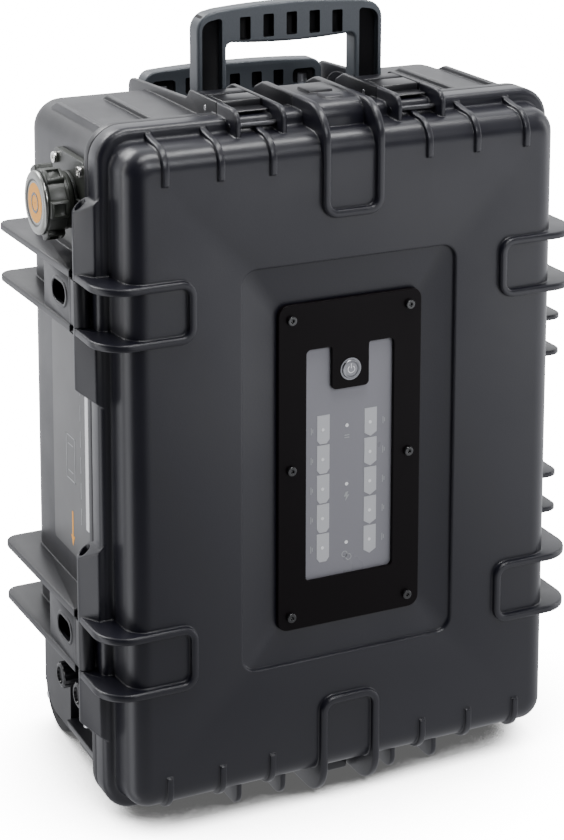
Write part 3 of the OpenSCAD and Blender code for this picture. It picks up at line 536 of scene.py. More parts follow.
def u_rib_side(g, s, zt, zb, start=-0.3):
    """U rib of the lid on side s: out from the seam, round the corner, across the front and back"""
    path, dep = [], []
    xo, rr_ = 214.4, 28.0
    yf = FY - PROUD
    for z, back in ((zt, False), (zb, True)):
        leg, dl = [], []
        w0 = 214.4
        leg.append(((s * w0, start, z), (-s, 0, 0))); dl.append(24)
        leg.append(((s * w0, -8, z), (-s, 0, 0))); dl.append(25)
        leg.append(((s * xo, -16, z), (-s, 0, 0))); dl.append(27)
        leg.append(((s * xo, -28, z), (-s, 0, 0))); dl.append(27.5)
        for i in range(13):
            a = math.pi / 2 * i / 12
            leg.append(((s * (xo - rr_ + rr_ * math.cos(a)), yf + rr_ - rr_ * math.sin(a), z), (-s * math.cos(a), math.sin(a), 0)))
            dl.append(27.5 - 14 * (i / 12) ** 1.5)
        leg.append(((s * 176, yf, z), (0, 1, 0))); dl.append(9)
        leg.append(((s * 160, yf, z), (0, 1, 0))); dl.append(7)
        leg.append(((s * 149.5, yf, z), (0, 1, 0))); dl.append(7)
        cz_ = z + (-9.5 if not back else 9.5)
        for i in range(1, 9):
            a = math.pi / 2 * i / 8
            zz = cz_ + (9.5 if not back else -9.5) * math.cos(a)
            leg.append(((s * (147.5 - 9.5 * math.sin(a)), yf, zz), (0, 1, 0))); dl.append(7)
        if back:
            leg, dl = leg[::-1], dl[::-1]
        path += leg
        dep += dl
    sweep(g, path, 3.05, 1.7, dep)


for s in (-1, 1):
    u_rib_side(g, s, FINS[0], FINS[1])
    u_rib_side(g, s, FINS[2], FINS[3])


def u_rib_centre(g, s, top, zin):
    """U rib over the top (s=1) or bottom (s=-1); top: distance of its arm from the centre, zin: end of the U on the front"""
    path, dep = [], []
    yf = FY - PROUD
    for x, back in ((-23.75, False), (23.75, True)):
        leg, dl = [], []
        leg.append(((x, -0.3, ZC + s * top), (0, 0, -s))); dl.append(top - 264)
        leg.append(((x, -12, ZC + s * top), (0, 0, -s))); dl.append(top - 262)
        leg.append(((x, -28.5, ZC + s * (top - 0.4)), (0, 0, -s))); dl.append(top - 262)
        for i in range(1, 14):
            a = math.pi / 2 * i / 13
            leg.append(((x, yf + 29.4 - 29.4 * math.sin(a), ZC + s * (top - 29.8 + 29.4 * math.cos(a))), (0, math.sin(a), -s * math.cos(a))))
            dl.append(27.5 - 14 * (i / 13) ** 1.5)
        leg.append(((x, yf, ZC + s * (top - 46)), (0, 1, 0))); dl.append(8)
        leg.append(((x, yf, ZC + s * (zin + 13)), (0, 1, 0))); dl.append(7)
        sx = 1 if not back else -1
        for i in range(1, 9):
            a = math.pi / 2 * i / 8
            leg.append(((x + sx * 10.2 * (1 - math.cos(a)), yf, ZC + s * (zin + 13 - 9.8 * math.sin(a))), (0, 1, 0))); dl.append(7)
        if back:
            leg, dl = leg[::-1], dl[::-1]
        path += leg
        dep += dl
    sweep(g, path, 3.2, 1.8, dep)


u_rib_centre(g, 1, 290.4, 201.0)
u_rib_centre(g, -1, 291.0, 201.0)

# short ribs over the dome edge
for x in (-159, -113, -69, 69, 113, 159):
    for s in (1, -1):
        path = [((x, -17.5, ZC + s * 277.2), (0, 0.3, -s)), ((x, -22.0, ZC + s * 274.4), (0, 0.2, -s)), ((x, -34, ZC + s * 271.8), (0, 0.05, -s))]
        for i in range(0, 9):
            a = math.pi / 2 * i / 8
            path.append(((x, -36.2 - 20.0 * math.sin(a), ZC + s * (251.6 + 20.0 * math.cos(a))), (0, math.sin(a), -s * math.cos(a))))
        path.append(((x, -56.0, ZC + s * 244.5), (0, 1, 0)))
        path.append(((x, -55.9, ZC + s * 241.6), (0, 1, 0)))
        path.append(((x, -54.6, ZC + s * 240.6), (0, 1, 0.0)))
        sweep(g, path, 2.7, 1.0, [8] * 3 + [9] * 9 + [4] * 3)

# ears of the latches
TE = (51.2, 90.7)
SE = (54.2, 85.2)


def ear(g, outline, x, side, bev=1.2, th=4.5):
    """outline in (y, w): w is the distance from the case centre"""
    if side == "top":
        prism(g, [(y, ZC + w) for y, w in outline], "x", x - th / 2, x + th / 2, bev)
    elif side == "bottom":
        prism(g, [(y, ZC - w) for y, w in outline], "x", x - th / 2, x + th / 2, bev)
    else:
        prism(g, [(w, y) for y, w in outline], "z", ZC + x - th / 2, ZC + x + th / 2, bev)


EAR_T, EAR_S, EAR_B = 290.0, 210.5, 292.0
for s in (-1, 1):
    for c in TE:
        o = fil([(-0.3, EAR_T), (-0.3, 255), (-24, 255), (-37, 262, 3), (-37, EAR_T - 0.3, 11)], 7)
        ear(g, o, s * c, "top")
        o = fil([(-0.3, EAR_B - 0.8), (-0.3, 255), (-24, 255), (-37, 262, 3), (-37, EAR_B - 1, 12)], 7)
        ear(g, o, s * c, "bottom")
    for c in SE:
        o = fil([(-0.3, EAR_S), (-0.3, 180), (-24, 180), (-37, 185, 3), (-37, EAR_S - 0.3, 11)], 7)
        ear(g, o, s * c, "right")

# centre block of the lid between the U arms
o = fil([(-0.3, ZC + EAR_T - 1.0), (-0.3, ZC + 262), (-33, ZC + 262), (-33, ZC + EAR_T - 1.0, 14)], 8)
prism(g, o, "x", -21.5, 21.5, 1.2)
prism(g, fil([(-6, ZC + 285), (-6, ZC + 291), (-22, ZC + 291, 3), (-22, ZC + 285)], 4), "x", -8, 8, 0.8)

# hinge barrels with slanted ends, and the web between the right fins
LID_EXTRA = []


HX, BR = 208.0, 6.4


def barrel_outline():
    out = fil([(-195, -0.3), (-195, -18.8), (-203.6, -19.2, 2.5), (-213.4, -3.4)], 5)[:-1]
    out += [(-HX + BR * math.cos(math.radians(a)), BR * math.sin(math.radians(a))) for a in range(212, 19, -8)]
    out += [(-200.9, -0.3)]
    return out


def barrel(z0, z1, s0=0.0, s1=0.0):
    gb = Geo()
    ol = barrel_outline()
    prism(gb, ol, "z", z0, z1, 0.8, 0.8, 3,
          top=lambda u, v: z1 + (u + 214.4) * s1, bot=lambda u, v: z0 - (u + 214.4) * s0)
    ob = gb.obj("barrel", SHELL)
    cut = Geo()
    lathe(cut, [(z0 - 40, 3.06), (z1 + 40, 3.06)], "z", (-208, 0), 32)
    cuts = [cut.obj("c", SHELL)]
    if s1:
        c2 = Geo()
        lathe(c2, [(z1 - 3.5, 4.2), (z1 + 40, 4.2)], "z", (-208, 0), 32)
        cuts.append(c2.obj("c", SHELL))
    boolean(ob, cuts)
    ob.data.polygons.foreach_set("use_smooth", [True] * len(ob.data.polygons))
    ob.data.set_sharp_from_angle(angle=math.radians(32))
    LID_EXTRA.append(ob)


barrel(FINS[0] - 3, FINS[0] + 51, 0, 0.9)
barrel(FINS[1] - 47, FINS[1] + 3, 0.7, 0)
barrel(FINS[2] - 3, FINS[2] + 51, 0, 0.9)
barrel(FINS[3] - 41, FINS[3] + 3, 0.7, 0)
for k in (0, 2):
    prism(g, rect(199.5, 205, -15.6, -0.3, 0.5), "z", FINS[k + 1], FINS[k], 0)
lid = g.obj("lid_moulding", SHELL, 33)
lid = join("lid_moulding", [lid] + LID_EXTRA)
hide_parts("lid_shell")
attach(lid, "lid")

# ------------------------------------------------------------------ base shell
g = Geo()
R = []
ring(200.2, 279.7, 25.2, 0.25)
ring(200.8, 280.3, 25.8, 0.5)
ring(201, 280.5, 26, 1.2)
ring(201, 280.5, 26, 7.4)
for s in range(1, 6):
    a = math.pi / 2 * s / 5
    ring(201 - 2.6 * (1 - math.cos(a)), 280.5 - 2.6 * (1 - math.cos(a)), 26 - 2.6 * (1 - math.cos(a)), 7.4 + 2.6 * math.sin(a))
ring(194.5, 274.6, 23.5, 10.0)
ring(193.3, 273.3, 23.3, 10.9)
ring(193.0, 273, 23.5, 12.5)
ring(193.0, 273, 24, 110)
ring(192.6, 272.6, 24, 142)
for s in range(1, 11):
    a = math.pi / 2 * s / 10
    k = 34 * (1 - math.cos(a))
    ring(192.6 - k, 272.6 - k, max(24 - k * 0.6, 6), 142 + 34 * math.sin(a))
loft(g, R, cap0=True, cap1=True)
outer = g.obj("base_outer", SHELL)
g = Geo()
R = []
ring(189, 269, 20, -3)
ring(189, 269, 20, 142)
for s in range(1, 6):
    a = math.pi / 2 * s / 5
    k = 30 * (1 - math.cos(a))
    ring(189 - k, 269 - k, max(20 - k * 0.6, 4), 142 + 30 * math.sin(a))
loft(g, R, cap0=True, cap1=True)
cav = g.obj("cavity", SHELL)
keep = [solid(rect(-92.3, 92.3, 46, 200), "z", ZC + 252, ZC + 290), solid(rect(-92.3, 92.3, 160, 200), "z", 90, ZC + 290),
        solid(rect(172, 210, 46, 200), "z", ZC - 92, ZC + 92), solid(rect(-210, -137, 87, 200), "z", -5, 128),
        solid(rect(137, 210, 87, 200), "z", -5, 128), solid(rect(-210, -177, 8, 96), "z", 36, 122)]
boolean(cav, keep)
boolean(outer, [cav])
cut = [solid(rect(-88.4, 88.4, 50, 200, 3), "z", ZC + 256.0, ZC + 300), solid(rect(-88.4, 88.4, 164, 200, 0), "z", 96, ZC + 300),
       solid(rect(176.5, 215, 50, 170, 3), "z", ZC - 88, ZC + 88), solid(rect(-215, -141, 91, 200, 0), "z", -8, 124),
       solid(rect(141, 215, 91, 200, 0), "z", -8, 124), solid(rect(-215, -181, 12, 92, 2), "z", 40, 124)]
gc = Geo()
lathe(gc, [(-215, 24), (-150, 24)], "x", (48, 502.5), 48)
cut.append(gc.obj("c", SHELL))
for y in (35, 75):
    gc = Geo()
    lathe(gc, [(-215, 7.1), (-150, 7.1)], "x", (y, 90), 32)
    cut.append(gc.obj("c", SHELL))
boolean(outer, cut)
outer.data.polygons.foreach_set("use_smooth", [True] * len(outer.data.polygons))
outer.data.set_sharp_from_angle(angle=math.radians(30))

g = Geo()
# side fins of the base, notched round the hinge on the left
for z in FINS:
    tip = [(-218.0, 160.0)] + [(-206 - 12 * math.cos(math.pi / 2 * i / 8), 162 + 12 * math.sin(math.pi / 2 * i / 8)) for i in range(9)]
    tail = [(-169.0, 174.0), (-178.0, 166.0), (-190.5, 140.0)]
    notch = [(-HX + 11 * math.cos(math.radians(a)), 11 * math.sin(math.radians(a))) for a in range(3, 126, 6)]
    left = [(-190.5, 0.6)] + notch + [(-214.5, 9.4)] + tip + tail
    prism(g, left, "z", z - 3.05, z + 3.05, 1.3, 1.3, 3)
    right = [(190.5, 0.5), (214.4, 0.5)] + [(-x, y) for x, y in tip + tail]
    prism(g, right, "z", z - 3.05, z + 3.05, 1.3, 1.3, 3)

# strap between the fins with a slot, and base knuckles
STRAP = []
for k in (0, 2):
    zt, zb = FINS[k] - 3, FINS[k + 1] + 3
    gs = Geo()
    prism(gs, rect(8, 70, zb - 0.5, zt + 0.5), "x", -213.6, -209.4, 0.0)
    so = gs.obj("strap", SHELL_BASE)
    zs = (zt + zb) / 2 + 1.5
    slot = solid(rect(18, 49, zs - 9.3, zs + 9.3, 9.2, 8), "x", -220, -208)
    boolean(so, [slot])
    edge_round(so, 1.0, 35, 3)
    STRAP.append(so)
    # raised collar round the slot
    gr = Geo()
    prism(gr, rect(16, 51, zs - 11.3, zs + 11.3, 11.2, 8), "x", -214.4, -212.8, 0.6, 0.0)
    ro = gr.obj("collar", SHELL_BASE)
    boolean(ro, [solid(rect(18.6, 48.4, zs - 8.7, zs + 8.7, 8.6, 8), "x", -220, -208)])
    STRAP.append(ro)
    kn = Geo()
    ol = [(-213.6, 12)] + [(-HX + BR * math.cos(math.radians(a)), BR * math.sin(math.radians(a))) for a in range(151, 436, 8)] + [(-205.9, 12)]
    prism(kn, ol, "z", zb + 0.6, zt - 0.6, 0.6)
    ko = kn.obj("knuckle", SHELL_BASE)
    cc = Geo()
    lathe(cc, [(zb - 10, 3.03), (zt + 10, 3.03)], "z", (-HX, 0), 32)
    boolean(ko, [cc.obj("c", SHELL)])
    ko.data.polygons.foreach_set("use_smooth", [True] * len(ko.data.polygons))
    ko.data.set_sharp_from_angle(angle=math.radians(32))
    STRAP.append(ko)
    prism(g, rect(-212.5, -190, 66, 70, 0.8), "z", zb - 0.5, zt + 0.5, 0)
    prism(g, rect(209.4, 213.4, 8, 70, 0.8), "z", zb - 0.5, zt + 0.5, 0)
    prism(g, rect(190, 212.5, 66, 70, 0.8), "z", zb - 0.5, zt + 0.5, 0)

# ears of the base
for s in (-1, 1):
    for i, c in enumerate(TE):
        if i == 0:
            o = fil([(0.3, EAR_T), (0.3, 252), (74, 252), (74, 283, 4), (60, EAR_T, 8)], 5)
            ear(g, o, s * c, "top")
        else:
            o = fil([(0.3, EAR_T), (0.3, 252), (152, 252), (152, 170), (166, 170), (187, 203, 12), (187, 276, 9), (60, 282.0, 10), (54, EAR_T, 6)], 7)
            ear(g, o, s * c, "top")
            o = None
        o = fil([(0.3, EAR_B), (0.3, 252), (74, 252), (74, 283, 5), (57, EAR_B, 7)], 5)
        ear(g, o, s * c, "bottom")
    for c in SE:
        o = fil([(0.3, EAR_S), (0.3, 176), (74, 176), (74, 203, 5), (57, EAR_S, 7)], 5)
        ear(g, o, s * c, "right")
    # arms of the centre U ribs on the base
    for side, t in (("top", EAR_T), ("bottom", EAR_B)):
        o = fil([(0.3, t), (0.3, 262), (74, 262), (74, 283, 6), (58, t, 8)], 5)
        ear(g, o, s * 23.75, side, 1.6, 6.4)
for s in (-1, 1):
    xa, xb = sorted((s * 52.5, s * 89.4))
    # the front face stands clear of the lever's back when the lever is fully up
    prism(g, [(31.9, ZC + 262), (49, ZC + 262), (49, ZC + 286.5), (48.2, ZC + 288.6), (46.5, ZC + 289.4), (33.6, ZC + 289.4), (32.7, ZC + 288.8), (32.3, ZC + 287.4)], "x", xa, xb, 0.3)
# centre blocks
o = fil([(0.3, ZC + EAR_T - 1.0), (0.3, ZC + 262), (44, ZC + 262), (44, ZC + EAR_T - 1.0, 4)], 5)
prism(g, o, "x", -21.5, 21.5, 1.0)
prism(g, fil([(3, ZC + 285), (3, ZC + 291.2, 1), (24, ZC + 291.2, 2), (24, ZC + 285)], 4), "x", -11, 11, 0.8)
o = fil([(0.3, 0.0), (0.3, 30), (44, 30), (44, 0.0, 4)], 5)
prism(g, o, "x", -19.5, 19.5, 1.0)
o = fil([(-14.6, 0.0, 2), (12, 0.0), (12, 10.3), (-14.6, 10.3, 2)], 4)
prism(g, o, "x", -18.6, 18.6, 0.8)
# low ribs along the tub
for x in (-181, -137, 137, 181):
    d = 2 if abs(x) > 150 else 0
    sweep(g, [((x, 8, ZC + 277 - d), (0, 0, -1)), ((x, 60, ZC + 277 - d), (0, 0, -1)), ((x, 118, ZC + 277 - d), (0, 0, -1)), ((x, 130, ZC + 272 - d), (0, -0.6, -1))], 2.5, 1.1, 9)
    sweep(g, [((x, 8, ZC - 276 + d), (0, 0, 1)), ((x, 60, ZC - 276 + d), (0, 0, 1)), ((x, 84, ZC - 276 + d), (0, 0, 1)), ((x, 88, ZC - 273 + d), (0, -0.6, 1))], 2.5, 1.1, 9)
ribs = g.obj("base_ribs", SHELL_BASE, 33)
outer.data.materials.clear()
outer.data.materials.append(SHELL_BASE)
base = join("base_moulding", [outer, ribs] + STRAP)
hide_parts("base_shell")
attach(base, "base")

# ------------------------------------------------------------------ latches


def lever(name, side, c, w, rim, body):
    """a moulded latch lever; profile in (y, distance from centre)"""
    g = Geo()
    r6 = [(22 + 6.2 * math.cos(math.radians(a)), rim + 0.5 + 6.2 * math.sin(math.radians(a))) for a in range(100, -181, -14)]
    prof = [(-14.0, rim + 3.2), (-13.2, rim + 2.1), (-11.0, rim + 2.0), (10.0, rim + 2.4), (15.4, rim + 2.2)]
    prof += r6[::-1][2:-3]
    prof += [(24.0, rim + 6.2), (24.0, rim + 9.0), (23.4, rim + 9.5), (2.0, rim + 9.5), (1.0, rim + 9.1), (0.5, rim + 8.2), (0.5, rim + 4.0), (-12.0, rim + 4.0), (-13.4, rim + 3.8)]
    ol = ccw(prof)
    if side == "top":
        prism(g, [(y, ZC + q) for y, q in ol], "x", c - w / 2, c + w / 2, 0.7)
    elif side == "bottom":
        prism(g, [(y, ZC - q) for y, q in ol], "x", c - w / 2, c + w / 2, 0.7)
    else:
        prism(g, [(q, y) for y, q in ol], "z", ZC + c - w / 2, ZC + c + w / 2, 0.7)
    o = g.obj(name, MATS["latch_plastic"], 38)
    cc = Geo()
    if side == "right":
        lathe(cc, [(ZC + c - 40, 2.55), (ZC + c + 40, 2.55)], "z", (rim + 0.5, 22), 24)
    else:
        lathe(cc, [(c - 40, 2.55), (c + 40, 2.55)], "x", (22, ZC + (rim + 0.5) * (1 if side == "top" else -1)), 24)
    boolean(o, [cc.obj("c", SHELL)])
    o.data.polygons.foreach_set("use_smooth", [True] * len(o.data.polygons))
    o.data.set_sharp_from_angle(angle=math.radians(38))
    o.data.materials.clear()
    o.data.materials.append(MATS["latch_plastic"])
    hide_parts(name.replace("_moulding", ""))
    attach(o, body)


PT, PS = sum(TE) / 2, sum(SE) / 2
WT, WS = TE[1] - TE[0] - 4.5 - 2.4, SE[1] - SE[0] - 4.5 - 2.4
lever("latch_top_left_moulding", "top", -PT, WT, 280.5, "latch_top_left_lever")
lever("latch_top_right_moulding", "top", PT, WT, 280.5, "latch_top_right_lever")
lever("latch_bottom_left_moulding", "bottom", -PT, WT, 280.5, "latch_bottom_left_lever")
lever("latch_bottom_right_moulding", "bottom", PT, WT, 280.5, "latch_bottom_right_lever")
lever("latch_side_upper_moulding", "right", PS, WS, 201, "latch_side_upper_lever")
lever("latch_side_lower_moulding", "right", -PS, WS, 201, "latch_side_lower_lever")

# ------------------------------------------------------------------ handles


def grip(name, w, leg, h, half_t, mat):
    """a U-shaped grip in its own frame: pivot line at z 0, thickness along y"""
    n = 28
    top = []
    for i in range(n + 1):
        x = -w + 2 * w * i / n
        z = h - (x / w) ** 2 * 5.5
        top.append((x, z))
    left = fil([(-w, 0), (-w, h - 5.5, 15), (-w + 30, h - 3.2)], 8)[1:-1]
    arch = [p for p in top if abs(p[0]) < w - 17]
    right = [(-x, z) for x, z in left[::-1]]
    foot_r = [(w - leg / 2 + leg / 2 * 0.98 * math.cos(math.radians(a)), -0.2 + 8.8 * math.sin(math.radians(a))) for a in range(0, -181, -15)]
    foot_l = [(-x, z) for x, z in foot_r[::-1]]
    inner_u = h - 33 - 0.0
    inn = []
    m = 14
    wi = w - leg
    for i in range(m + 1):
        x = wi - 2 * wi * i / m
        inn.append((x, inner_u + (x / wi) ** 2 * 3.0))
    ol = left + arch + right + foot_r + [(wi, 4)] + fil([(wi, 4), (wi, inner_u + 3, 5), (wi - 12, inner_u + 1.8)], 5)[1:-1] + inn[3:-3]
    ol += [(-x, z) for x, z in fil([(wi, 4), (wi, inner_u + 3, 5), (wi - 12, inner_u + 1.8)], 5)[1:-1][::-1]] + [(-wi, 4)] + foot_l
    g = Geo()
    prism(g, ol, "y", -half_t, half_t, 2.4, 2.4, 4)
    o = g.obj(name, mat, 35)
    cuts = []
    for i in range(5):
        x = (i - 2) * 21.0
        zt = h - 8.5 - (x / w) ** 2 * 5.5
        for ya, yb in ((-40, -1), (1, 40)):
            cuts.append(solid(fil([(x - 4.8, zt - 19, 1.2), (x + 4.8, zt - 19, 1.2), (x + 4.8, zt, 1.2), (x - 4.8, zt, 1.2)], 3), "y", ya, yb))
    for s in (-1, 1):
        x0, x1 = s * (w - leg + 4.0), s * (w - 4.2)
        xa, xb = min(x0, x1), max(x0, x1)
        tr, tl = (h - 12.5, h - 9.2) if s > 0 else (h - 9.2, h - 12.5)
        for ya, yb in ((-40, -1.7), (1.7, 40)):
            cuts.append(solid(fil([(xa, 12, 3), (xb, 12, 3), (xb, tr, 9 if s > 0 else 3), (xa, tl, 3 if s > 0 else 9)], 5), "y", ya, yb))
    boolean(o, cuts)
    cc = Geo()
    lathe(cc, [(-w - 10, 3.06), (w + 10, 3.06)], "x", (0, 0), 24)
    boolean(o, [cc.obj("c", SHELL)])
    edge_round(o, 0.9, 42, 2, True, 40)
    o.data.materials.clear()
    o.data.materials.append(mat)
    o.data.materials.append(POCKET_PAINTED_SHADE)
    # faces inside the finger recesses and leg slots get a near-black painted shade colour
    for f in o.data.polygons:
        c = [q * 1000 for q in f.center]
        if abs(c[1]) > half_t - 1.4:
            f.material_index = 0
            continue
        hit = abs(abs(c[0]) - (w - leg / 2)) < leg / 2 - 3.6 and 10 < c[2] < h - 8.0 and abs(c[1]) < 2.4
        for i in range(5):
            x = (i - 2) * 21.0
            zt = h - 8.5 - (x / w) ** 2 * 5.5
            hit = hit or (abs(c[0] - x) < 5.4 and zt - 19.8 < c[2] < zt + 0.8)
        f.material_index = 1 if hit else 0
    return o


def set_mesh(o, fn):
    for v in o.data.vertices:
        v.co = Vector([c / 1000 for c in fn(*[q * 1000 for q in v.co])])
    o.data.update()


HM = MATS["handle_plastic"]
# near-black colour painted on the grip recesses as painted shade
POCKET_PAINTED_SHADE = plastic("handle_pocket_painted_shade", (0.004, 0.004, 0.005), 0.6, 0.2, 700.0, 0.2, 0.0, 0.15)
o = grip("carry_handle_moulding", 84.5, 26, 85, 9, HM)
set_mesh(o, lambda x, y, z: (x, y + 65, z + ZC + 270))
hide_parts("carry_handle")
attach(o, "carry_handle_body")

lo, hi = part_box("side_handle")
sh = grip("side_handle_moulding", 81.5, 22, 85, 9, HM)
# stowed: swings back along +Y, its pivot line vertical
cx_side = (lo[0] + hi[0]) / 2 * 1000
set_mesh(sh, lambda x, y, z: (cx_side + y, 65 + z, ZC + x))
bm = bmesh.new()
bm.from_mesh(sh.data)
bmesh.ops.recalc_face_normals(bm, faces=bm.faces)
bm.to_mesh(sh.data)
bm.free()
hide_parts("side_handle")
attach(sh, "side_handle_body")

# trolley grip in the same style
g = Geo()
ol = fil([(-85, -15, 2), (85, -15, 2), (85, 14.3, 11)] + [(x, 17.5 - 3.3 * (x / 85) ** 2) for x in range(58, -59, -4)] + [(-85, 14.3, 11)], 7)
prism(g, [(x, 558.5 + z) for x, z in ol], "y", 169, 187, 2.2, 2.2, 4)
tg = g.obj("trolley_grip_moulding", HM, 35)
cuts = []
for i in range(5):
    x = (i - 2) * 21.0
    for ya, yb in ((140, 177), (179, 220)):
        cuts.append(solid(rect(x - 4.8, x + 4.8, 552.0, 566.0, 1.2, 3), "y", ya, yb))
for s in (-1, 1):
    for ya, yb in ((140, 172.6), (183.4, 220)):
        cuts.append(solid(rect(s * 67 - 11, s * 67 + 11, 551.6, 565.4, 4, 4), "y", ya, yb))
boolean(tg, cuts)
cuts = []
for s in (-1, 1):
    cc = Geo()
    lathe(cc, [(540, 7.02), (560.5, 7.02)], "z", (s * 67, 178), 32)
    cuts.append(cc.obj("c", SHELL))
boolean(tg, cuts)
edge_round(tg, 0.8, 42, 2, True, 40)
tg.data.materials.clear()
tg.data.materials.append(HM)
tg.data.materials.append(POCKET_PAINTED_SHADE)
# faces inside the trolley grip's finger recesses and end slots get the painted shade colour
for f in tg.data.polygons:
    c = [q * 1000 for q in f.center]
    hit = abs(c[1] - 178) < 7.6 and 551.2 < c[2] < 567 and any(abs(c[0] - (i - 2) * 21.0) < 5.4 for i in range(5))
    hit = hit or (abs(c[1] - 178) < 6.0 and 551 < c[2] < 566 and abs(abs(c[0]) - 67) < 11.5)
    f.material_index = 1 if hit else 0
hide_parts("trolley_grip")
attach(tg, "trolley_handle")

# ------------------------------------------------------------------ connector cap
g = Geo()
cy, cz = 48.0, 504.2
lathe(g, [(-224.0, 15.0), (-227.0, 16.5), (-227.4, 17.4), (-228.0, 19.4), (-227.9, 23.2), (-227.2, 24.8), (-226.0, 25.4), (-225.0, 25.3), (-224.6, 24.8), (-224.2, 24.9), (-223.6, 26.3),
          (-222.9, 26.6), (-210.2, 26.6), (-209.5, 25.9), (-209.4, 23.0), (-206.4, 23.0), (-206.0, 23.5), (-204.6, 23.5), (-202.9, 22.9), (-202.9, 20.2), (-224.0, 20.2)],
      "x", (cy, cz), 96, 0)
capo = g.obj("cap_body", [MATS["connector_body"]], 35)
lugs = [capo]
for k in range(6):
    t = math.radians(60 * k)
    gl = Geo()
    prism(gl, fil([(-7.0, 22.0), (7.0, 22.0), (7.0, 29.6, 2.2), (0, 30.5), (-7.0, 29.6, 2.2)], 4), "x", -224.4, -209.5, 0.9, 0.9, 3)
    lo_ = gl.obj("lug", [MATS["connector_body"]], 35)
    boolean(lo_, [solid(fil([(-4.6, 27.6), (4.6, 27.6), (4.6, 36), (-4.6, 36)], 3), "x", -221.6, -212.2)])
    edge_round(lo_, 0.45, 50, 2, True, 38)
    lo_.data.materials.clear()
    lo_.data.materials.append(MATS["connector_body"])
    for v in lo_.data.vertices:
        y, z = v.co.y, v.co.z
        v.co.y = cy / 1000 + z * math.cos(t) - y * math.sin(t)
        v.co.z = cz / 1000 + z * math.sin(t) + y * math.cos(t)
    bmx = bmesh.new()
    bmx.from_mesh(lo_.data)
    bmesh.ops.recalc_face_normals(bmx, faces=bmx.faces)
    bmx.to_mesh(lo_.data)
    bmx.free()
    lugs.append(lo_)
o = join("connector_cap_moulding", lugs)
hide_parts("connector_cap")
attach(o, "connector_cap_body")
g = Geo()
lathe(g, [(-227.0, 0.5), (-227.55, 0.6), (-227.55, 15.8), (-227.3, 16.0), (-226.6, 16.0)], "x", (cy, cz), 64)
o = g.obj("connector_cap_disc", ORANGE, 40)
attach(o, "connector_cap_body")
g = Geo()
lathe(g, [(-227.4, 19.0), (-228.0, 19.2), (-228.15, 19.8), (-228.1, 22.9), (-227.3, 24.9), (-226.2, 25.6), (-225.4, 25.6), (-225.3, 25.0)], "x", (cy, cz), 64)
gg = g.obj("connector_cap_rim", RIM_METAL, 40)
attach(gg, "connector_cap_body")
# plain ring on the disc
g = Geo()
lathe(g, [(-227.4, 6.2), (-227.7, 6.3), (-227.75, 6.5), (-227.75, 8.1), (-227.7, 8.3), (-227.4, 8.4)], "x", (cy, cz), 64)
o = g.obj("connector_cap_ring_mark", MATS["screw_black"], 40)
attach(o, "connector_cap_body")

# port caps
for nm, y in (("front", 35.0), ("rear", 75.0)):
    g = Geo()

    def knurl(a, r, t):
        return r + (0.9 * max(0.0, math.cos(12 * t)) ** 0.5 if -203.2 < a < -189.5 else 0)

    lathe(g, [(-201.8, 1.0), (-202.2, 6.2), (-203.9, 7.2), (-204.0, 8.6), (-203.4, 9.6), (-202.8, 10.0), (-190.0, 10.1), (-189.0, 9.6), (-188.3, 9.0), (-188.3, 6.0), (-187.9, 4.4), (-186, 4.3)],
          "x", (y, 90), 72, 0, knurl)
    o = g.obj("port_cap_%s_moulding" % nm, MATS["latch_plastic"], 40)
    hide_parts("port_cap_" + nm)
    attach(o, "port_cap_%s_body" % nm)

# ------------------------------------------------------------------ display
BY = FY + 4.0
PZ = 290.0
g = Geo()
prism(g, rrect(64, 136, 9, 0, PZ, 8), "y", BY - 3.6, BY - 0.05, 0.9, 0.0, 4)
bz = g.obj("bezel_moulding", MATS["bezel_black"], 35)
win = fil([(-39.2, PZ - 97, 4), (39.2, PZ - 97, 4), (39.2, PZ + 97, 4), (16.6, PZ + 97, 2), (16.6, PZ + 61, 4), (-16.6, PZ + 61, 4), (-16.6, PZ + 97, 2), (-39.2, PZ + 97, 4)], 5)
gc = Geo()
lathe(gc, [(BY - 8, 9.3), (BY + 4, 9.3)], "y", (0, PZ + 76.5), 48)
cuts = [solid(win, "y", BY - 8, BY + 4), gc.obj("c", SHELL)]
boolean(bz, cuts)
edge_round(bz, 0.5, 50, 2, True, 35)
bz.data.materials.clear()
bz.data.materials.append(MATS["bezel_black"])
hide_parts("bezel_plate")
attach(bz, "lid")


def ink(name, outlines, y, mat, h=0.12):
    g = Geo()
    for ol in outlines:
        prism(g, ol, "y", y - h, y, 0.0)
    o = g.obj(name, mat, 40)
    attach(o, "lid")
    return o


def circ(x, z, r, n=20):
    return [(x + r * math.cos(2 * math.pi * i / n), z + r * math.sin(2 * math.pi * i / n)) for i in range(n)]


OY = BY - 0.12  # just in front of the bar faces
BOY = BY + 0.05
leds = []
for i in range(5):
    for x in (-22.4, 20.2):
        leds.append(circ(x - 0.5, PZ + 27.8 - i * 25 + 0.0, 1.35))
ink("display_leds", leds, BY - 0.17, LED_WHITE, 0.25)
cent = [circ(-1.2, z, 1.5) for z in (318.2, 268.7, 218.9)]
ink("display_status_leds", cent, BOY, LED_WHITE, 0.2)


def ring2d(x, z, r0, r1, a0, a1, n=16):
    p = [(x + r1 * math.cos(math.radians(a0 + (a1 - a0) * i / n)), z + r1 * math.sin(math.radians(a0 + (a1 - a0) * i / n))) for i in range(n + 1)]
    p += [(x + r0 * math.cos(math.radians(a1 - (a1 - a0) * i / n)), z + r0 * math.sin(math.radians(a1 - (a1 - a0) * i / n))) for i in range(n + 1)]
    return p


icons = []
# small generic marks under the three status lamps: two overlapping rings, a bolt, two short bars
icons += [ring2d(-2.6, 208.8, 2.1, 2.8, 0, 359), ring2d(0.9, 206.0, 2.1, 2.8, 0, 359)]
icons += [[(-1.8, 262), (-3.6, 258), (-1.6, 258), (-2.4, 254), (1.2, 259.2), (-0.7, 259.2), (0.4, 262)]]
icons += [rect(-3.4, 1.0, 309.6, 310.4), rect(-3.4, 1.0, 307.6, 308.4)]
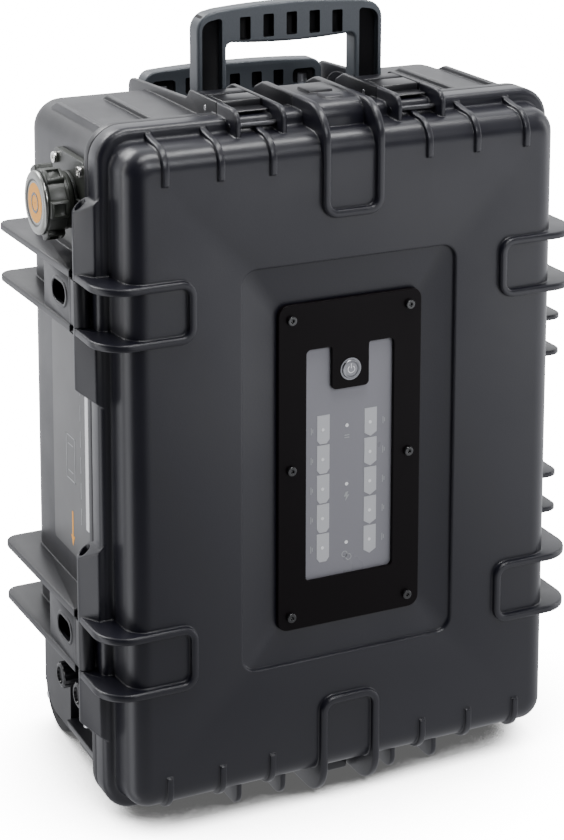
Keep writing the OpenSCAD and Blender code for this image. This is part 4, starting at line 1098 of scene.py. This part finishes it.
# ticks beside the bars
for i in range(5):
    z = PZ + 27.8 - i * 25
    icons.append(rect(-33.6, -32.9, z - 3.0, z + 3.0))
    icons.append(rect(-32.2, -31.5, z - 1.6, z + 1.6))
    icons.append(rect(31.2, 31.9, z - 3.0, z + 3.0))
    icons.append(rect(32.6, 33.3, z - 1.6, z + 1.6))
ink("display_marks", icons, BOY, TEXT_GREY, 0.1)
# power symbol and outer ring on the button
BT = BY - 4.6
g = Geo()
for ol in [ring2d(0, PZ + 76.5, 2.6, 3.3, 125, 415), rect(-0.35, 0.35, PZ + 77.2, PZ + 81.0)]:
    prism(g, ol, "y", BT - 0.08, BT + 0.05, 0)
o = g.obj("button_symbol", WHITE_INK, 40)
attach(o, "button")
g = Geo()
lathe(g, [(BT - 0.02, 5.6), (BT - 0.25, 5.9), (BT - 0.25, 7.2), (BT + 0.3, 7.75), (BT + 0.6, 7.78)], "y", (0, PZ + 76.5), 48)
g2 = Geo()
lathe(g2, [(BT - 1, 5.7), (BT + 0.05, 5.5)], "y", (0, PZ + 76.5), 48)
o = g.obj("button_ring", MATS["button_metal"], 40)
boolean(o, [g2.obj("c", SHELL)])
o.data.polygons.foreach_set("use_smooth", [True] * len(o.data.polygons))
o.data.set_sharp_from_angle(angle=math.radians(40))
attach(o, "button")

# ------------------------------------------------------------------ side label
LX = -193.72


def sticker(name, outlines, mat, h=0.1):
    g = Geo()
    for ol in outlines:
        prism(g, ol, "x", LX - h, LX + 0.02, 0.0)
    o = g.obj(name, mat, 40)
    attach(o, "base")
    return o


sticker("label_band", [rect(22, 34, 232, 388, 1)], WHITE_INK)
frames = []
for (a, b, c, d) in ((58, 78, 262, 300),):
    frames += [rect(a, b, c, c + 0.9), rect(a, b, d - 0.9, d), rect(a, a + 0.9, c, d), rect(b - 0.9, b, c, d)]
    frames += [rect(a + 4, b - 4, c + 7, c + 7.8), rect(a + 4, b - 4, d - 8, d - 7.2)]
for i in range(6):
    frames.append(rect(44 - 0.0, 45.0, 232 + i * 22, 246 + i * 22))
sticker("label_lines", frames, TEXT_GREY)
sticker("label_arrow", [[(64, 236), (67, 236), (67, 215), (69.5, 215), (65.5, 206), (61.5, 215), (64, 215)]], ORANGE)

# ------------------------------------------------------------------ wheels
for s, nm in ((-1, "left"), (1, "right")):
    g = Geo()
    x0 = s * 166.7
    pr = []
    for i in range(-6, 7):
        a = i / 6 * math.pi / 2
        pr.append((x0 + 12.0 * math.sin(a) * 1.0, 35 - 3.4 * (1 - math.cos(a)) ** 1.4))
    prof = [(x0 - 12, 24.05), (x0 - 12.2, 28)] + [(a, min(r, 34.9)) for a, r in pr] + [(x0 + 12.2, 28), (x0 + 12, 24.05)]

    def tread(a, r, t):
        return r - (0.7 if (abs(abs(a - x0) - 4) < 0.4) else 0)

    rings = [([(150 + r * math.cos(2 * math.pi * i / 96), 35 + r * math.sin(2 * math.pi * i / 96)) for i in range(96)], a) for a, r in prof]
    loft(g, rings, close=True, axis="x")
    o = g.obj("tyre_%s_moulding" % nm, MATS["wheel_tyre"], 40)
    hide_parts("wheel_tyre_" + nm)
    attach(o, "wheel_" + nm)

# ------------------------------------------------------------------ CAD pieces that stay: soften edges and weight their normals
ROUND = {"wheel_bracket_left": 1.2, "wheel_bracket_right": 1.2, "connector_flange": 0.8, "connector_screws": 0.5,
         "bezel_screws": 0.7, "power_button": 0.5, "handle_pins": 0.6, "latch_pivot_pins": 0.5, "latch_strike_rods": 0.3, "hinge_pins": 0.4,
         "trolley_collar": 1.0, "trolley_foot_bracket": 1.0, "cap_retainer": 0.6, "side_label": 0.15, "display_cover": 1.0, "battery_cells": 1.5,
         "cell_end_plates": 0.6, "module_tray": 0.4, "cell_busbars": 0.3, "contactor": 1.0, "wheel_hub_left": 0.7, "wheel_hub_right": 0.7,
         "foam_pads": 1.0, "bms_heatsink": 0.3, "bms_board": 0.2, "main_fuse": 0.5, "display_bars": 0.08, "connector_socket": 0.4, "port_bodies": 0.3}
shown = {n for n in NODES if not NODES[n].hide_render}
for n, o in NODES.items():
    if n not in ROUND:
        continue
    w = o.modifiers.new("weld", "WELD")
    w.merge_threshold = 1e-5
    d = o.modifiers.new("flat", "DECIMATE")
    d.decimate_type, d.angle_limit = "DISSOLVE", math.radians(2.0)
    b = o.modifiers.new("round", "BEVEL")
    b.width, b.segments, b.limit_method, b.angle_limit = ROUND[n] / 1000, 3, "ANGLE", math.radians(40)
    b.harden_normals = False
    b.use_clamp_overlap = True
    wn = o.modifiers.new("normals", "WEIGHTED_NORMAL")
    wn.mode, wn.weight, wn.keep_sharp = "FACE_AREA", 60, False

# ------------------------------------------------------------------ stage, camera, light
bpy.ops.mesh.primitive_plane_add(size=14, location=(0, 2.0, 0))
floor = bpy.context.object
floor.name = "floor"
fm, nt, bs, tc = base_mat("floor_paper_painted_light")
fn = noise(nt, tc, 3.0, 3.0)
link(nt, two_tone(nt, fn.outputs["Fac"], (0.07, 0.07, 0.0705), (0.085, 0.085, 0.0855)), bs.inputs["Base Color"])
bs.inputs["Roughness"].default_value = 0.7
bs.inputs["Specular IOR Level"].default_value = 0.1


def gradient(nt, vec, kx, ky, c, lo, hi):
    """clamp(kx*x + ky*y + c, lo, hi) of a vector"""
    sp = node(nt, "ShaderNodeSeparateXYZ")
    link(nt, vec, sp.inputs[0])
    a = node(nt, "ShaderNodeMath", operation="MULTIPLY_ADD")
    link(nt, sp.outputs["X"], a.inputs[0])
    a.inputs[1].default_value, a.inputs[2].default_value = kx, c
    b = node(nt, "ShaderNodeMath", operation="MULTIPLY_ADD")
    link(nt, sp.outputs["Y"], b.inputs[0])
    b.inputs[1].default_value = ky
    link(nt, a.outputs[0], b.inputs[2])
    cl = node(nt, "ShaderNodeClamp")
    link(nt, b.outputs[0], cl.inputs["Value"])
    cl.inputs["Min"].default_value, cl.inputs["Max"].default_value = lo, hi
    return cl.outputs[0]


# the sweep carries painted light: a painted glow for reflections, brightest at the back, and a painted soft contact
# shadow for the view
geo = node(nt, "ShaderNodeNewGeometry")
painted_glow = node(nt, "ShaderNodeEmission")
gmax = node(nt, "ShaderNodeMath", operation="MAXIMUM")
link(nt, gradient(nt, geo.outputs["Position"], 0.80, 1.05, 0.86, 0.03, 1.8), gmax.inputs[0])
link(nt, gradient(nt, geo.outputs["Position"], 2.0, -0.35, 0.08, 0.03, 2.1), gmax.inputs[1])
# a painted bright streak in the glow towards the left gives the lid's rounded edge its upright painted highlight
sub = node(nt, "ShaderNodeVectorMath", operation="SUBTRACT")
link(nt, geo.outputs["Position"], sub.inputs[0])
sub.inputs[1].default_value = (-0.19, -0.05, 0.0)
nrm = node(nt, "ShaderNodeVectorMath", operation="NORMALIZE")
link(nt, sub.outputs[0], nrm.inputs[0])
dot = node(nt, "ShaderNodeVectorMath", operation="DOT_PRODUCT")
link(nt, nrm.outputs[0], dot.inputs[0])
dot.inputs[1].default_value = (-0.992, 0.12, 0.0)
painted_streak = node(nt, "ShaderNodeMapRange", interpolation_type="SMOOTHSTEP")
painted_streak.inputs["From Min"].default_value, painted_streak.inputs["From Max"].default_value = 0.90, 0.985
painted_streak.inputs["To Min"].default_value, painted_streak.inputs["To Max"].default_value = 0.0, 2.4
link(nt, dot.outputs["Value"], painted_streak.inputs["Value"])
gm2 = node(nt, "ShaderNodeMath", operation="MAXIMUM")
link(nt, gmax.outputs[0], gm2.inputs[0])
link(nt, painted_streak.outputs["Result"], gm2.inputs[1])
link(nt, gm2.outputs[0], painted_glow.inputs["Strength"])
painted_glow.inputs["Color"].default_value = (0.95, 0.96, 1.0, 1)
addsh = node(nt, "ShaderNodeAddShader")
link(nt, bs.outputs[0], addsh.inputs[0])
link(nt, painted_glow.outputs[0], addsh.inputs[1])
# painted contact shadow: the camera sees an emission that the AO darkens near the case
ao = node(nt, "ShaderNodeAmbientOcclusion", samples=16)
ao.inputs["Distance"].default_value = 0.24
view = node(nt, "ShaderNodeEmission")
rm = node(nt, "ShaderNodeMapRange", interpolation_type="SMOOTHSTEP")
rm.inputs["From Min"].default_value, rm.inputs["From Max"].default_value = 0.22, 0.93
rm.inputs["To Min"].default_value, rm.inputs["To Max"].default_value = 0.12, 18.0
link(nt, ao.outputs["AO"], rm.inputs["Value"])
pw = node(nt, "ShaderNodeMath", operation="POWER")
link(nt, rm.outputs["Result"], pw.inputs[0])
pw.inputs[1].default_value = 1.0
link(nt, pw.outputs[0], view.inputs["Strength"])
lpf = node(nt, "ShaderNodeLightPath")
ms = node(nt, "ShaderNodeMixShader")
link(nt, lpf.outputs["Is Camera Ray"], ms.inputs[0])
link(nt, addsh.outputs[0], ms.inputs[1])
link(nt, view.outputs[0], ms.inputs[2])
link(nt, ms.outputs[0], nt.nodes["Material Output"].inputs["Surface"])
floor.data.materials.append(fm)

CAM = (-0.7851, -1.5584, 0.9482)
cd = bpy.data.cameras.new("cam")
cam = bpy.data.objects.new("cam", cd)
bpy.context.scene.collection.objects.link(cam)
cam.location = CAM
cam.rotation_euler = (math.radians(90 - 10.16), 0, math.radians(-25.14))
cd.sensor_width = 36
cd.lens = 95.27
cd.clip_start = 0.05
for chan, val in (("shift_x", 0.0244), ("shift_y", -0.4692)):
    setattr(cd, chan, val)
    drv = cd.driver_add(chan).driver
    drv.type = "SCRIPTED"
    for nm, ax in (("cx", "LOC_X"), ("cy", "LOC_Y")):
        v = drv.variables.new()
        v.name, v.type = nm, "TRANSFORMS"
        v.targets[0].id = cam
        v.targets[0].transform_type = ax
    drv.expression = "%f if abs(cx + 0.7851) < 0.001 and abs(cy + 1.5584) < 0.001 else 0.0" % val
bpy.context.scene.camera = cam

world = bpy.data.worlds.new("studio")
bpy.context.scene.world = world
world.use_nodes = True
wt = world.node_tree
bg = wt.nodes["Background"]
lp = node(wt, "ShaderNodeLightPath")
wtc = node(wt, "ShaderNodeTexCoord")
env = gradient(wt, wtc.outputs["Generated"], 0.45, 1.1, 0.74, 0.02, 1.7)
mx = node(wt, "ShaderNodeMix", data_type="FLOAT")
link(wt, lp.outputs["Is Camera Ray"], mx.inputs["Factor"])
link(wt, env, mx.inputs["A"])
mx.inputs["B"].default_value = 15.0
link(wt, mx.outputs["Result"], bg.inputs["Strength"])
bg.inputs["Color"].default_value = (0.97, 0.98, 1.0, 1)


def area(name, loc, target, size, power, col=(1, 1, 1), sy=None):
    ld = bpy.data.lights.new(name, "AREA")
    ld.energy, ld.color = power, col
    ld.shape = "RECTANGLE"
    ld.size, ld.size_y = size, sy or size
    lo_ = bpy.data.objects.new(name, ld)
    bpy.context.scene.collection.objects.link(lo_)
    lo_.location = loc
    lo_.rotation_mode = "QUATERNION"
    lo_.rotation_quaternion = (Vector(target) - Vector(loc)).to_track_quat("-Z", "Y")
    return lo_


area("key_back", (-0.7, 1.3, 1.9), (0, 0, 0.35), 1.3, 40, (1, 1, 1), 0.8)
area("top_strip", (0.2, -0.3, 1.9), (0, 0, 0.3), 1.5, 24, (1, 1, 1), 0.22)
area("left_strip", (-2.2, 0.7, 0.9), (-0.1, 0, 0.3), 0.35, 12, (1.0, 0.99, 0.97), 1.8)
area("front_fill", (0.45, -2.6, 2.1), (0, 0, 0.3), 0.9, 36, (0.97, 0.98, 1.0))
area("right_rim", (2.1, -0.5, 1.0), (0.1, 0, 0.3), 0.4, 10, (1, 1, 1), 1.6)
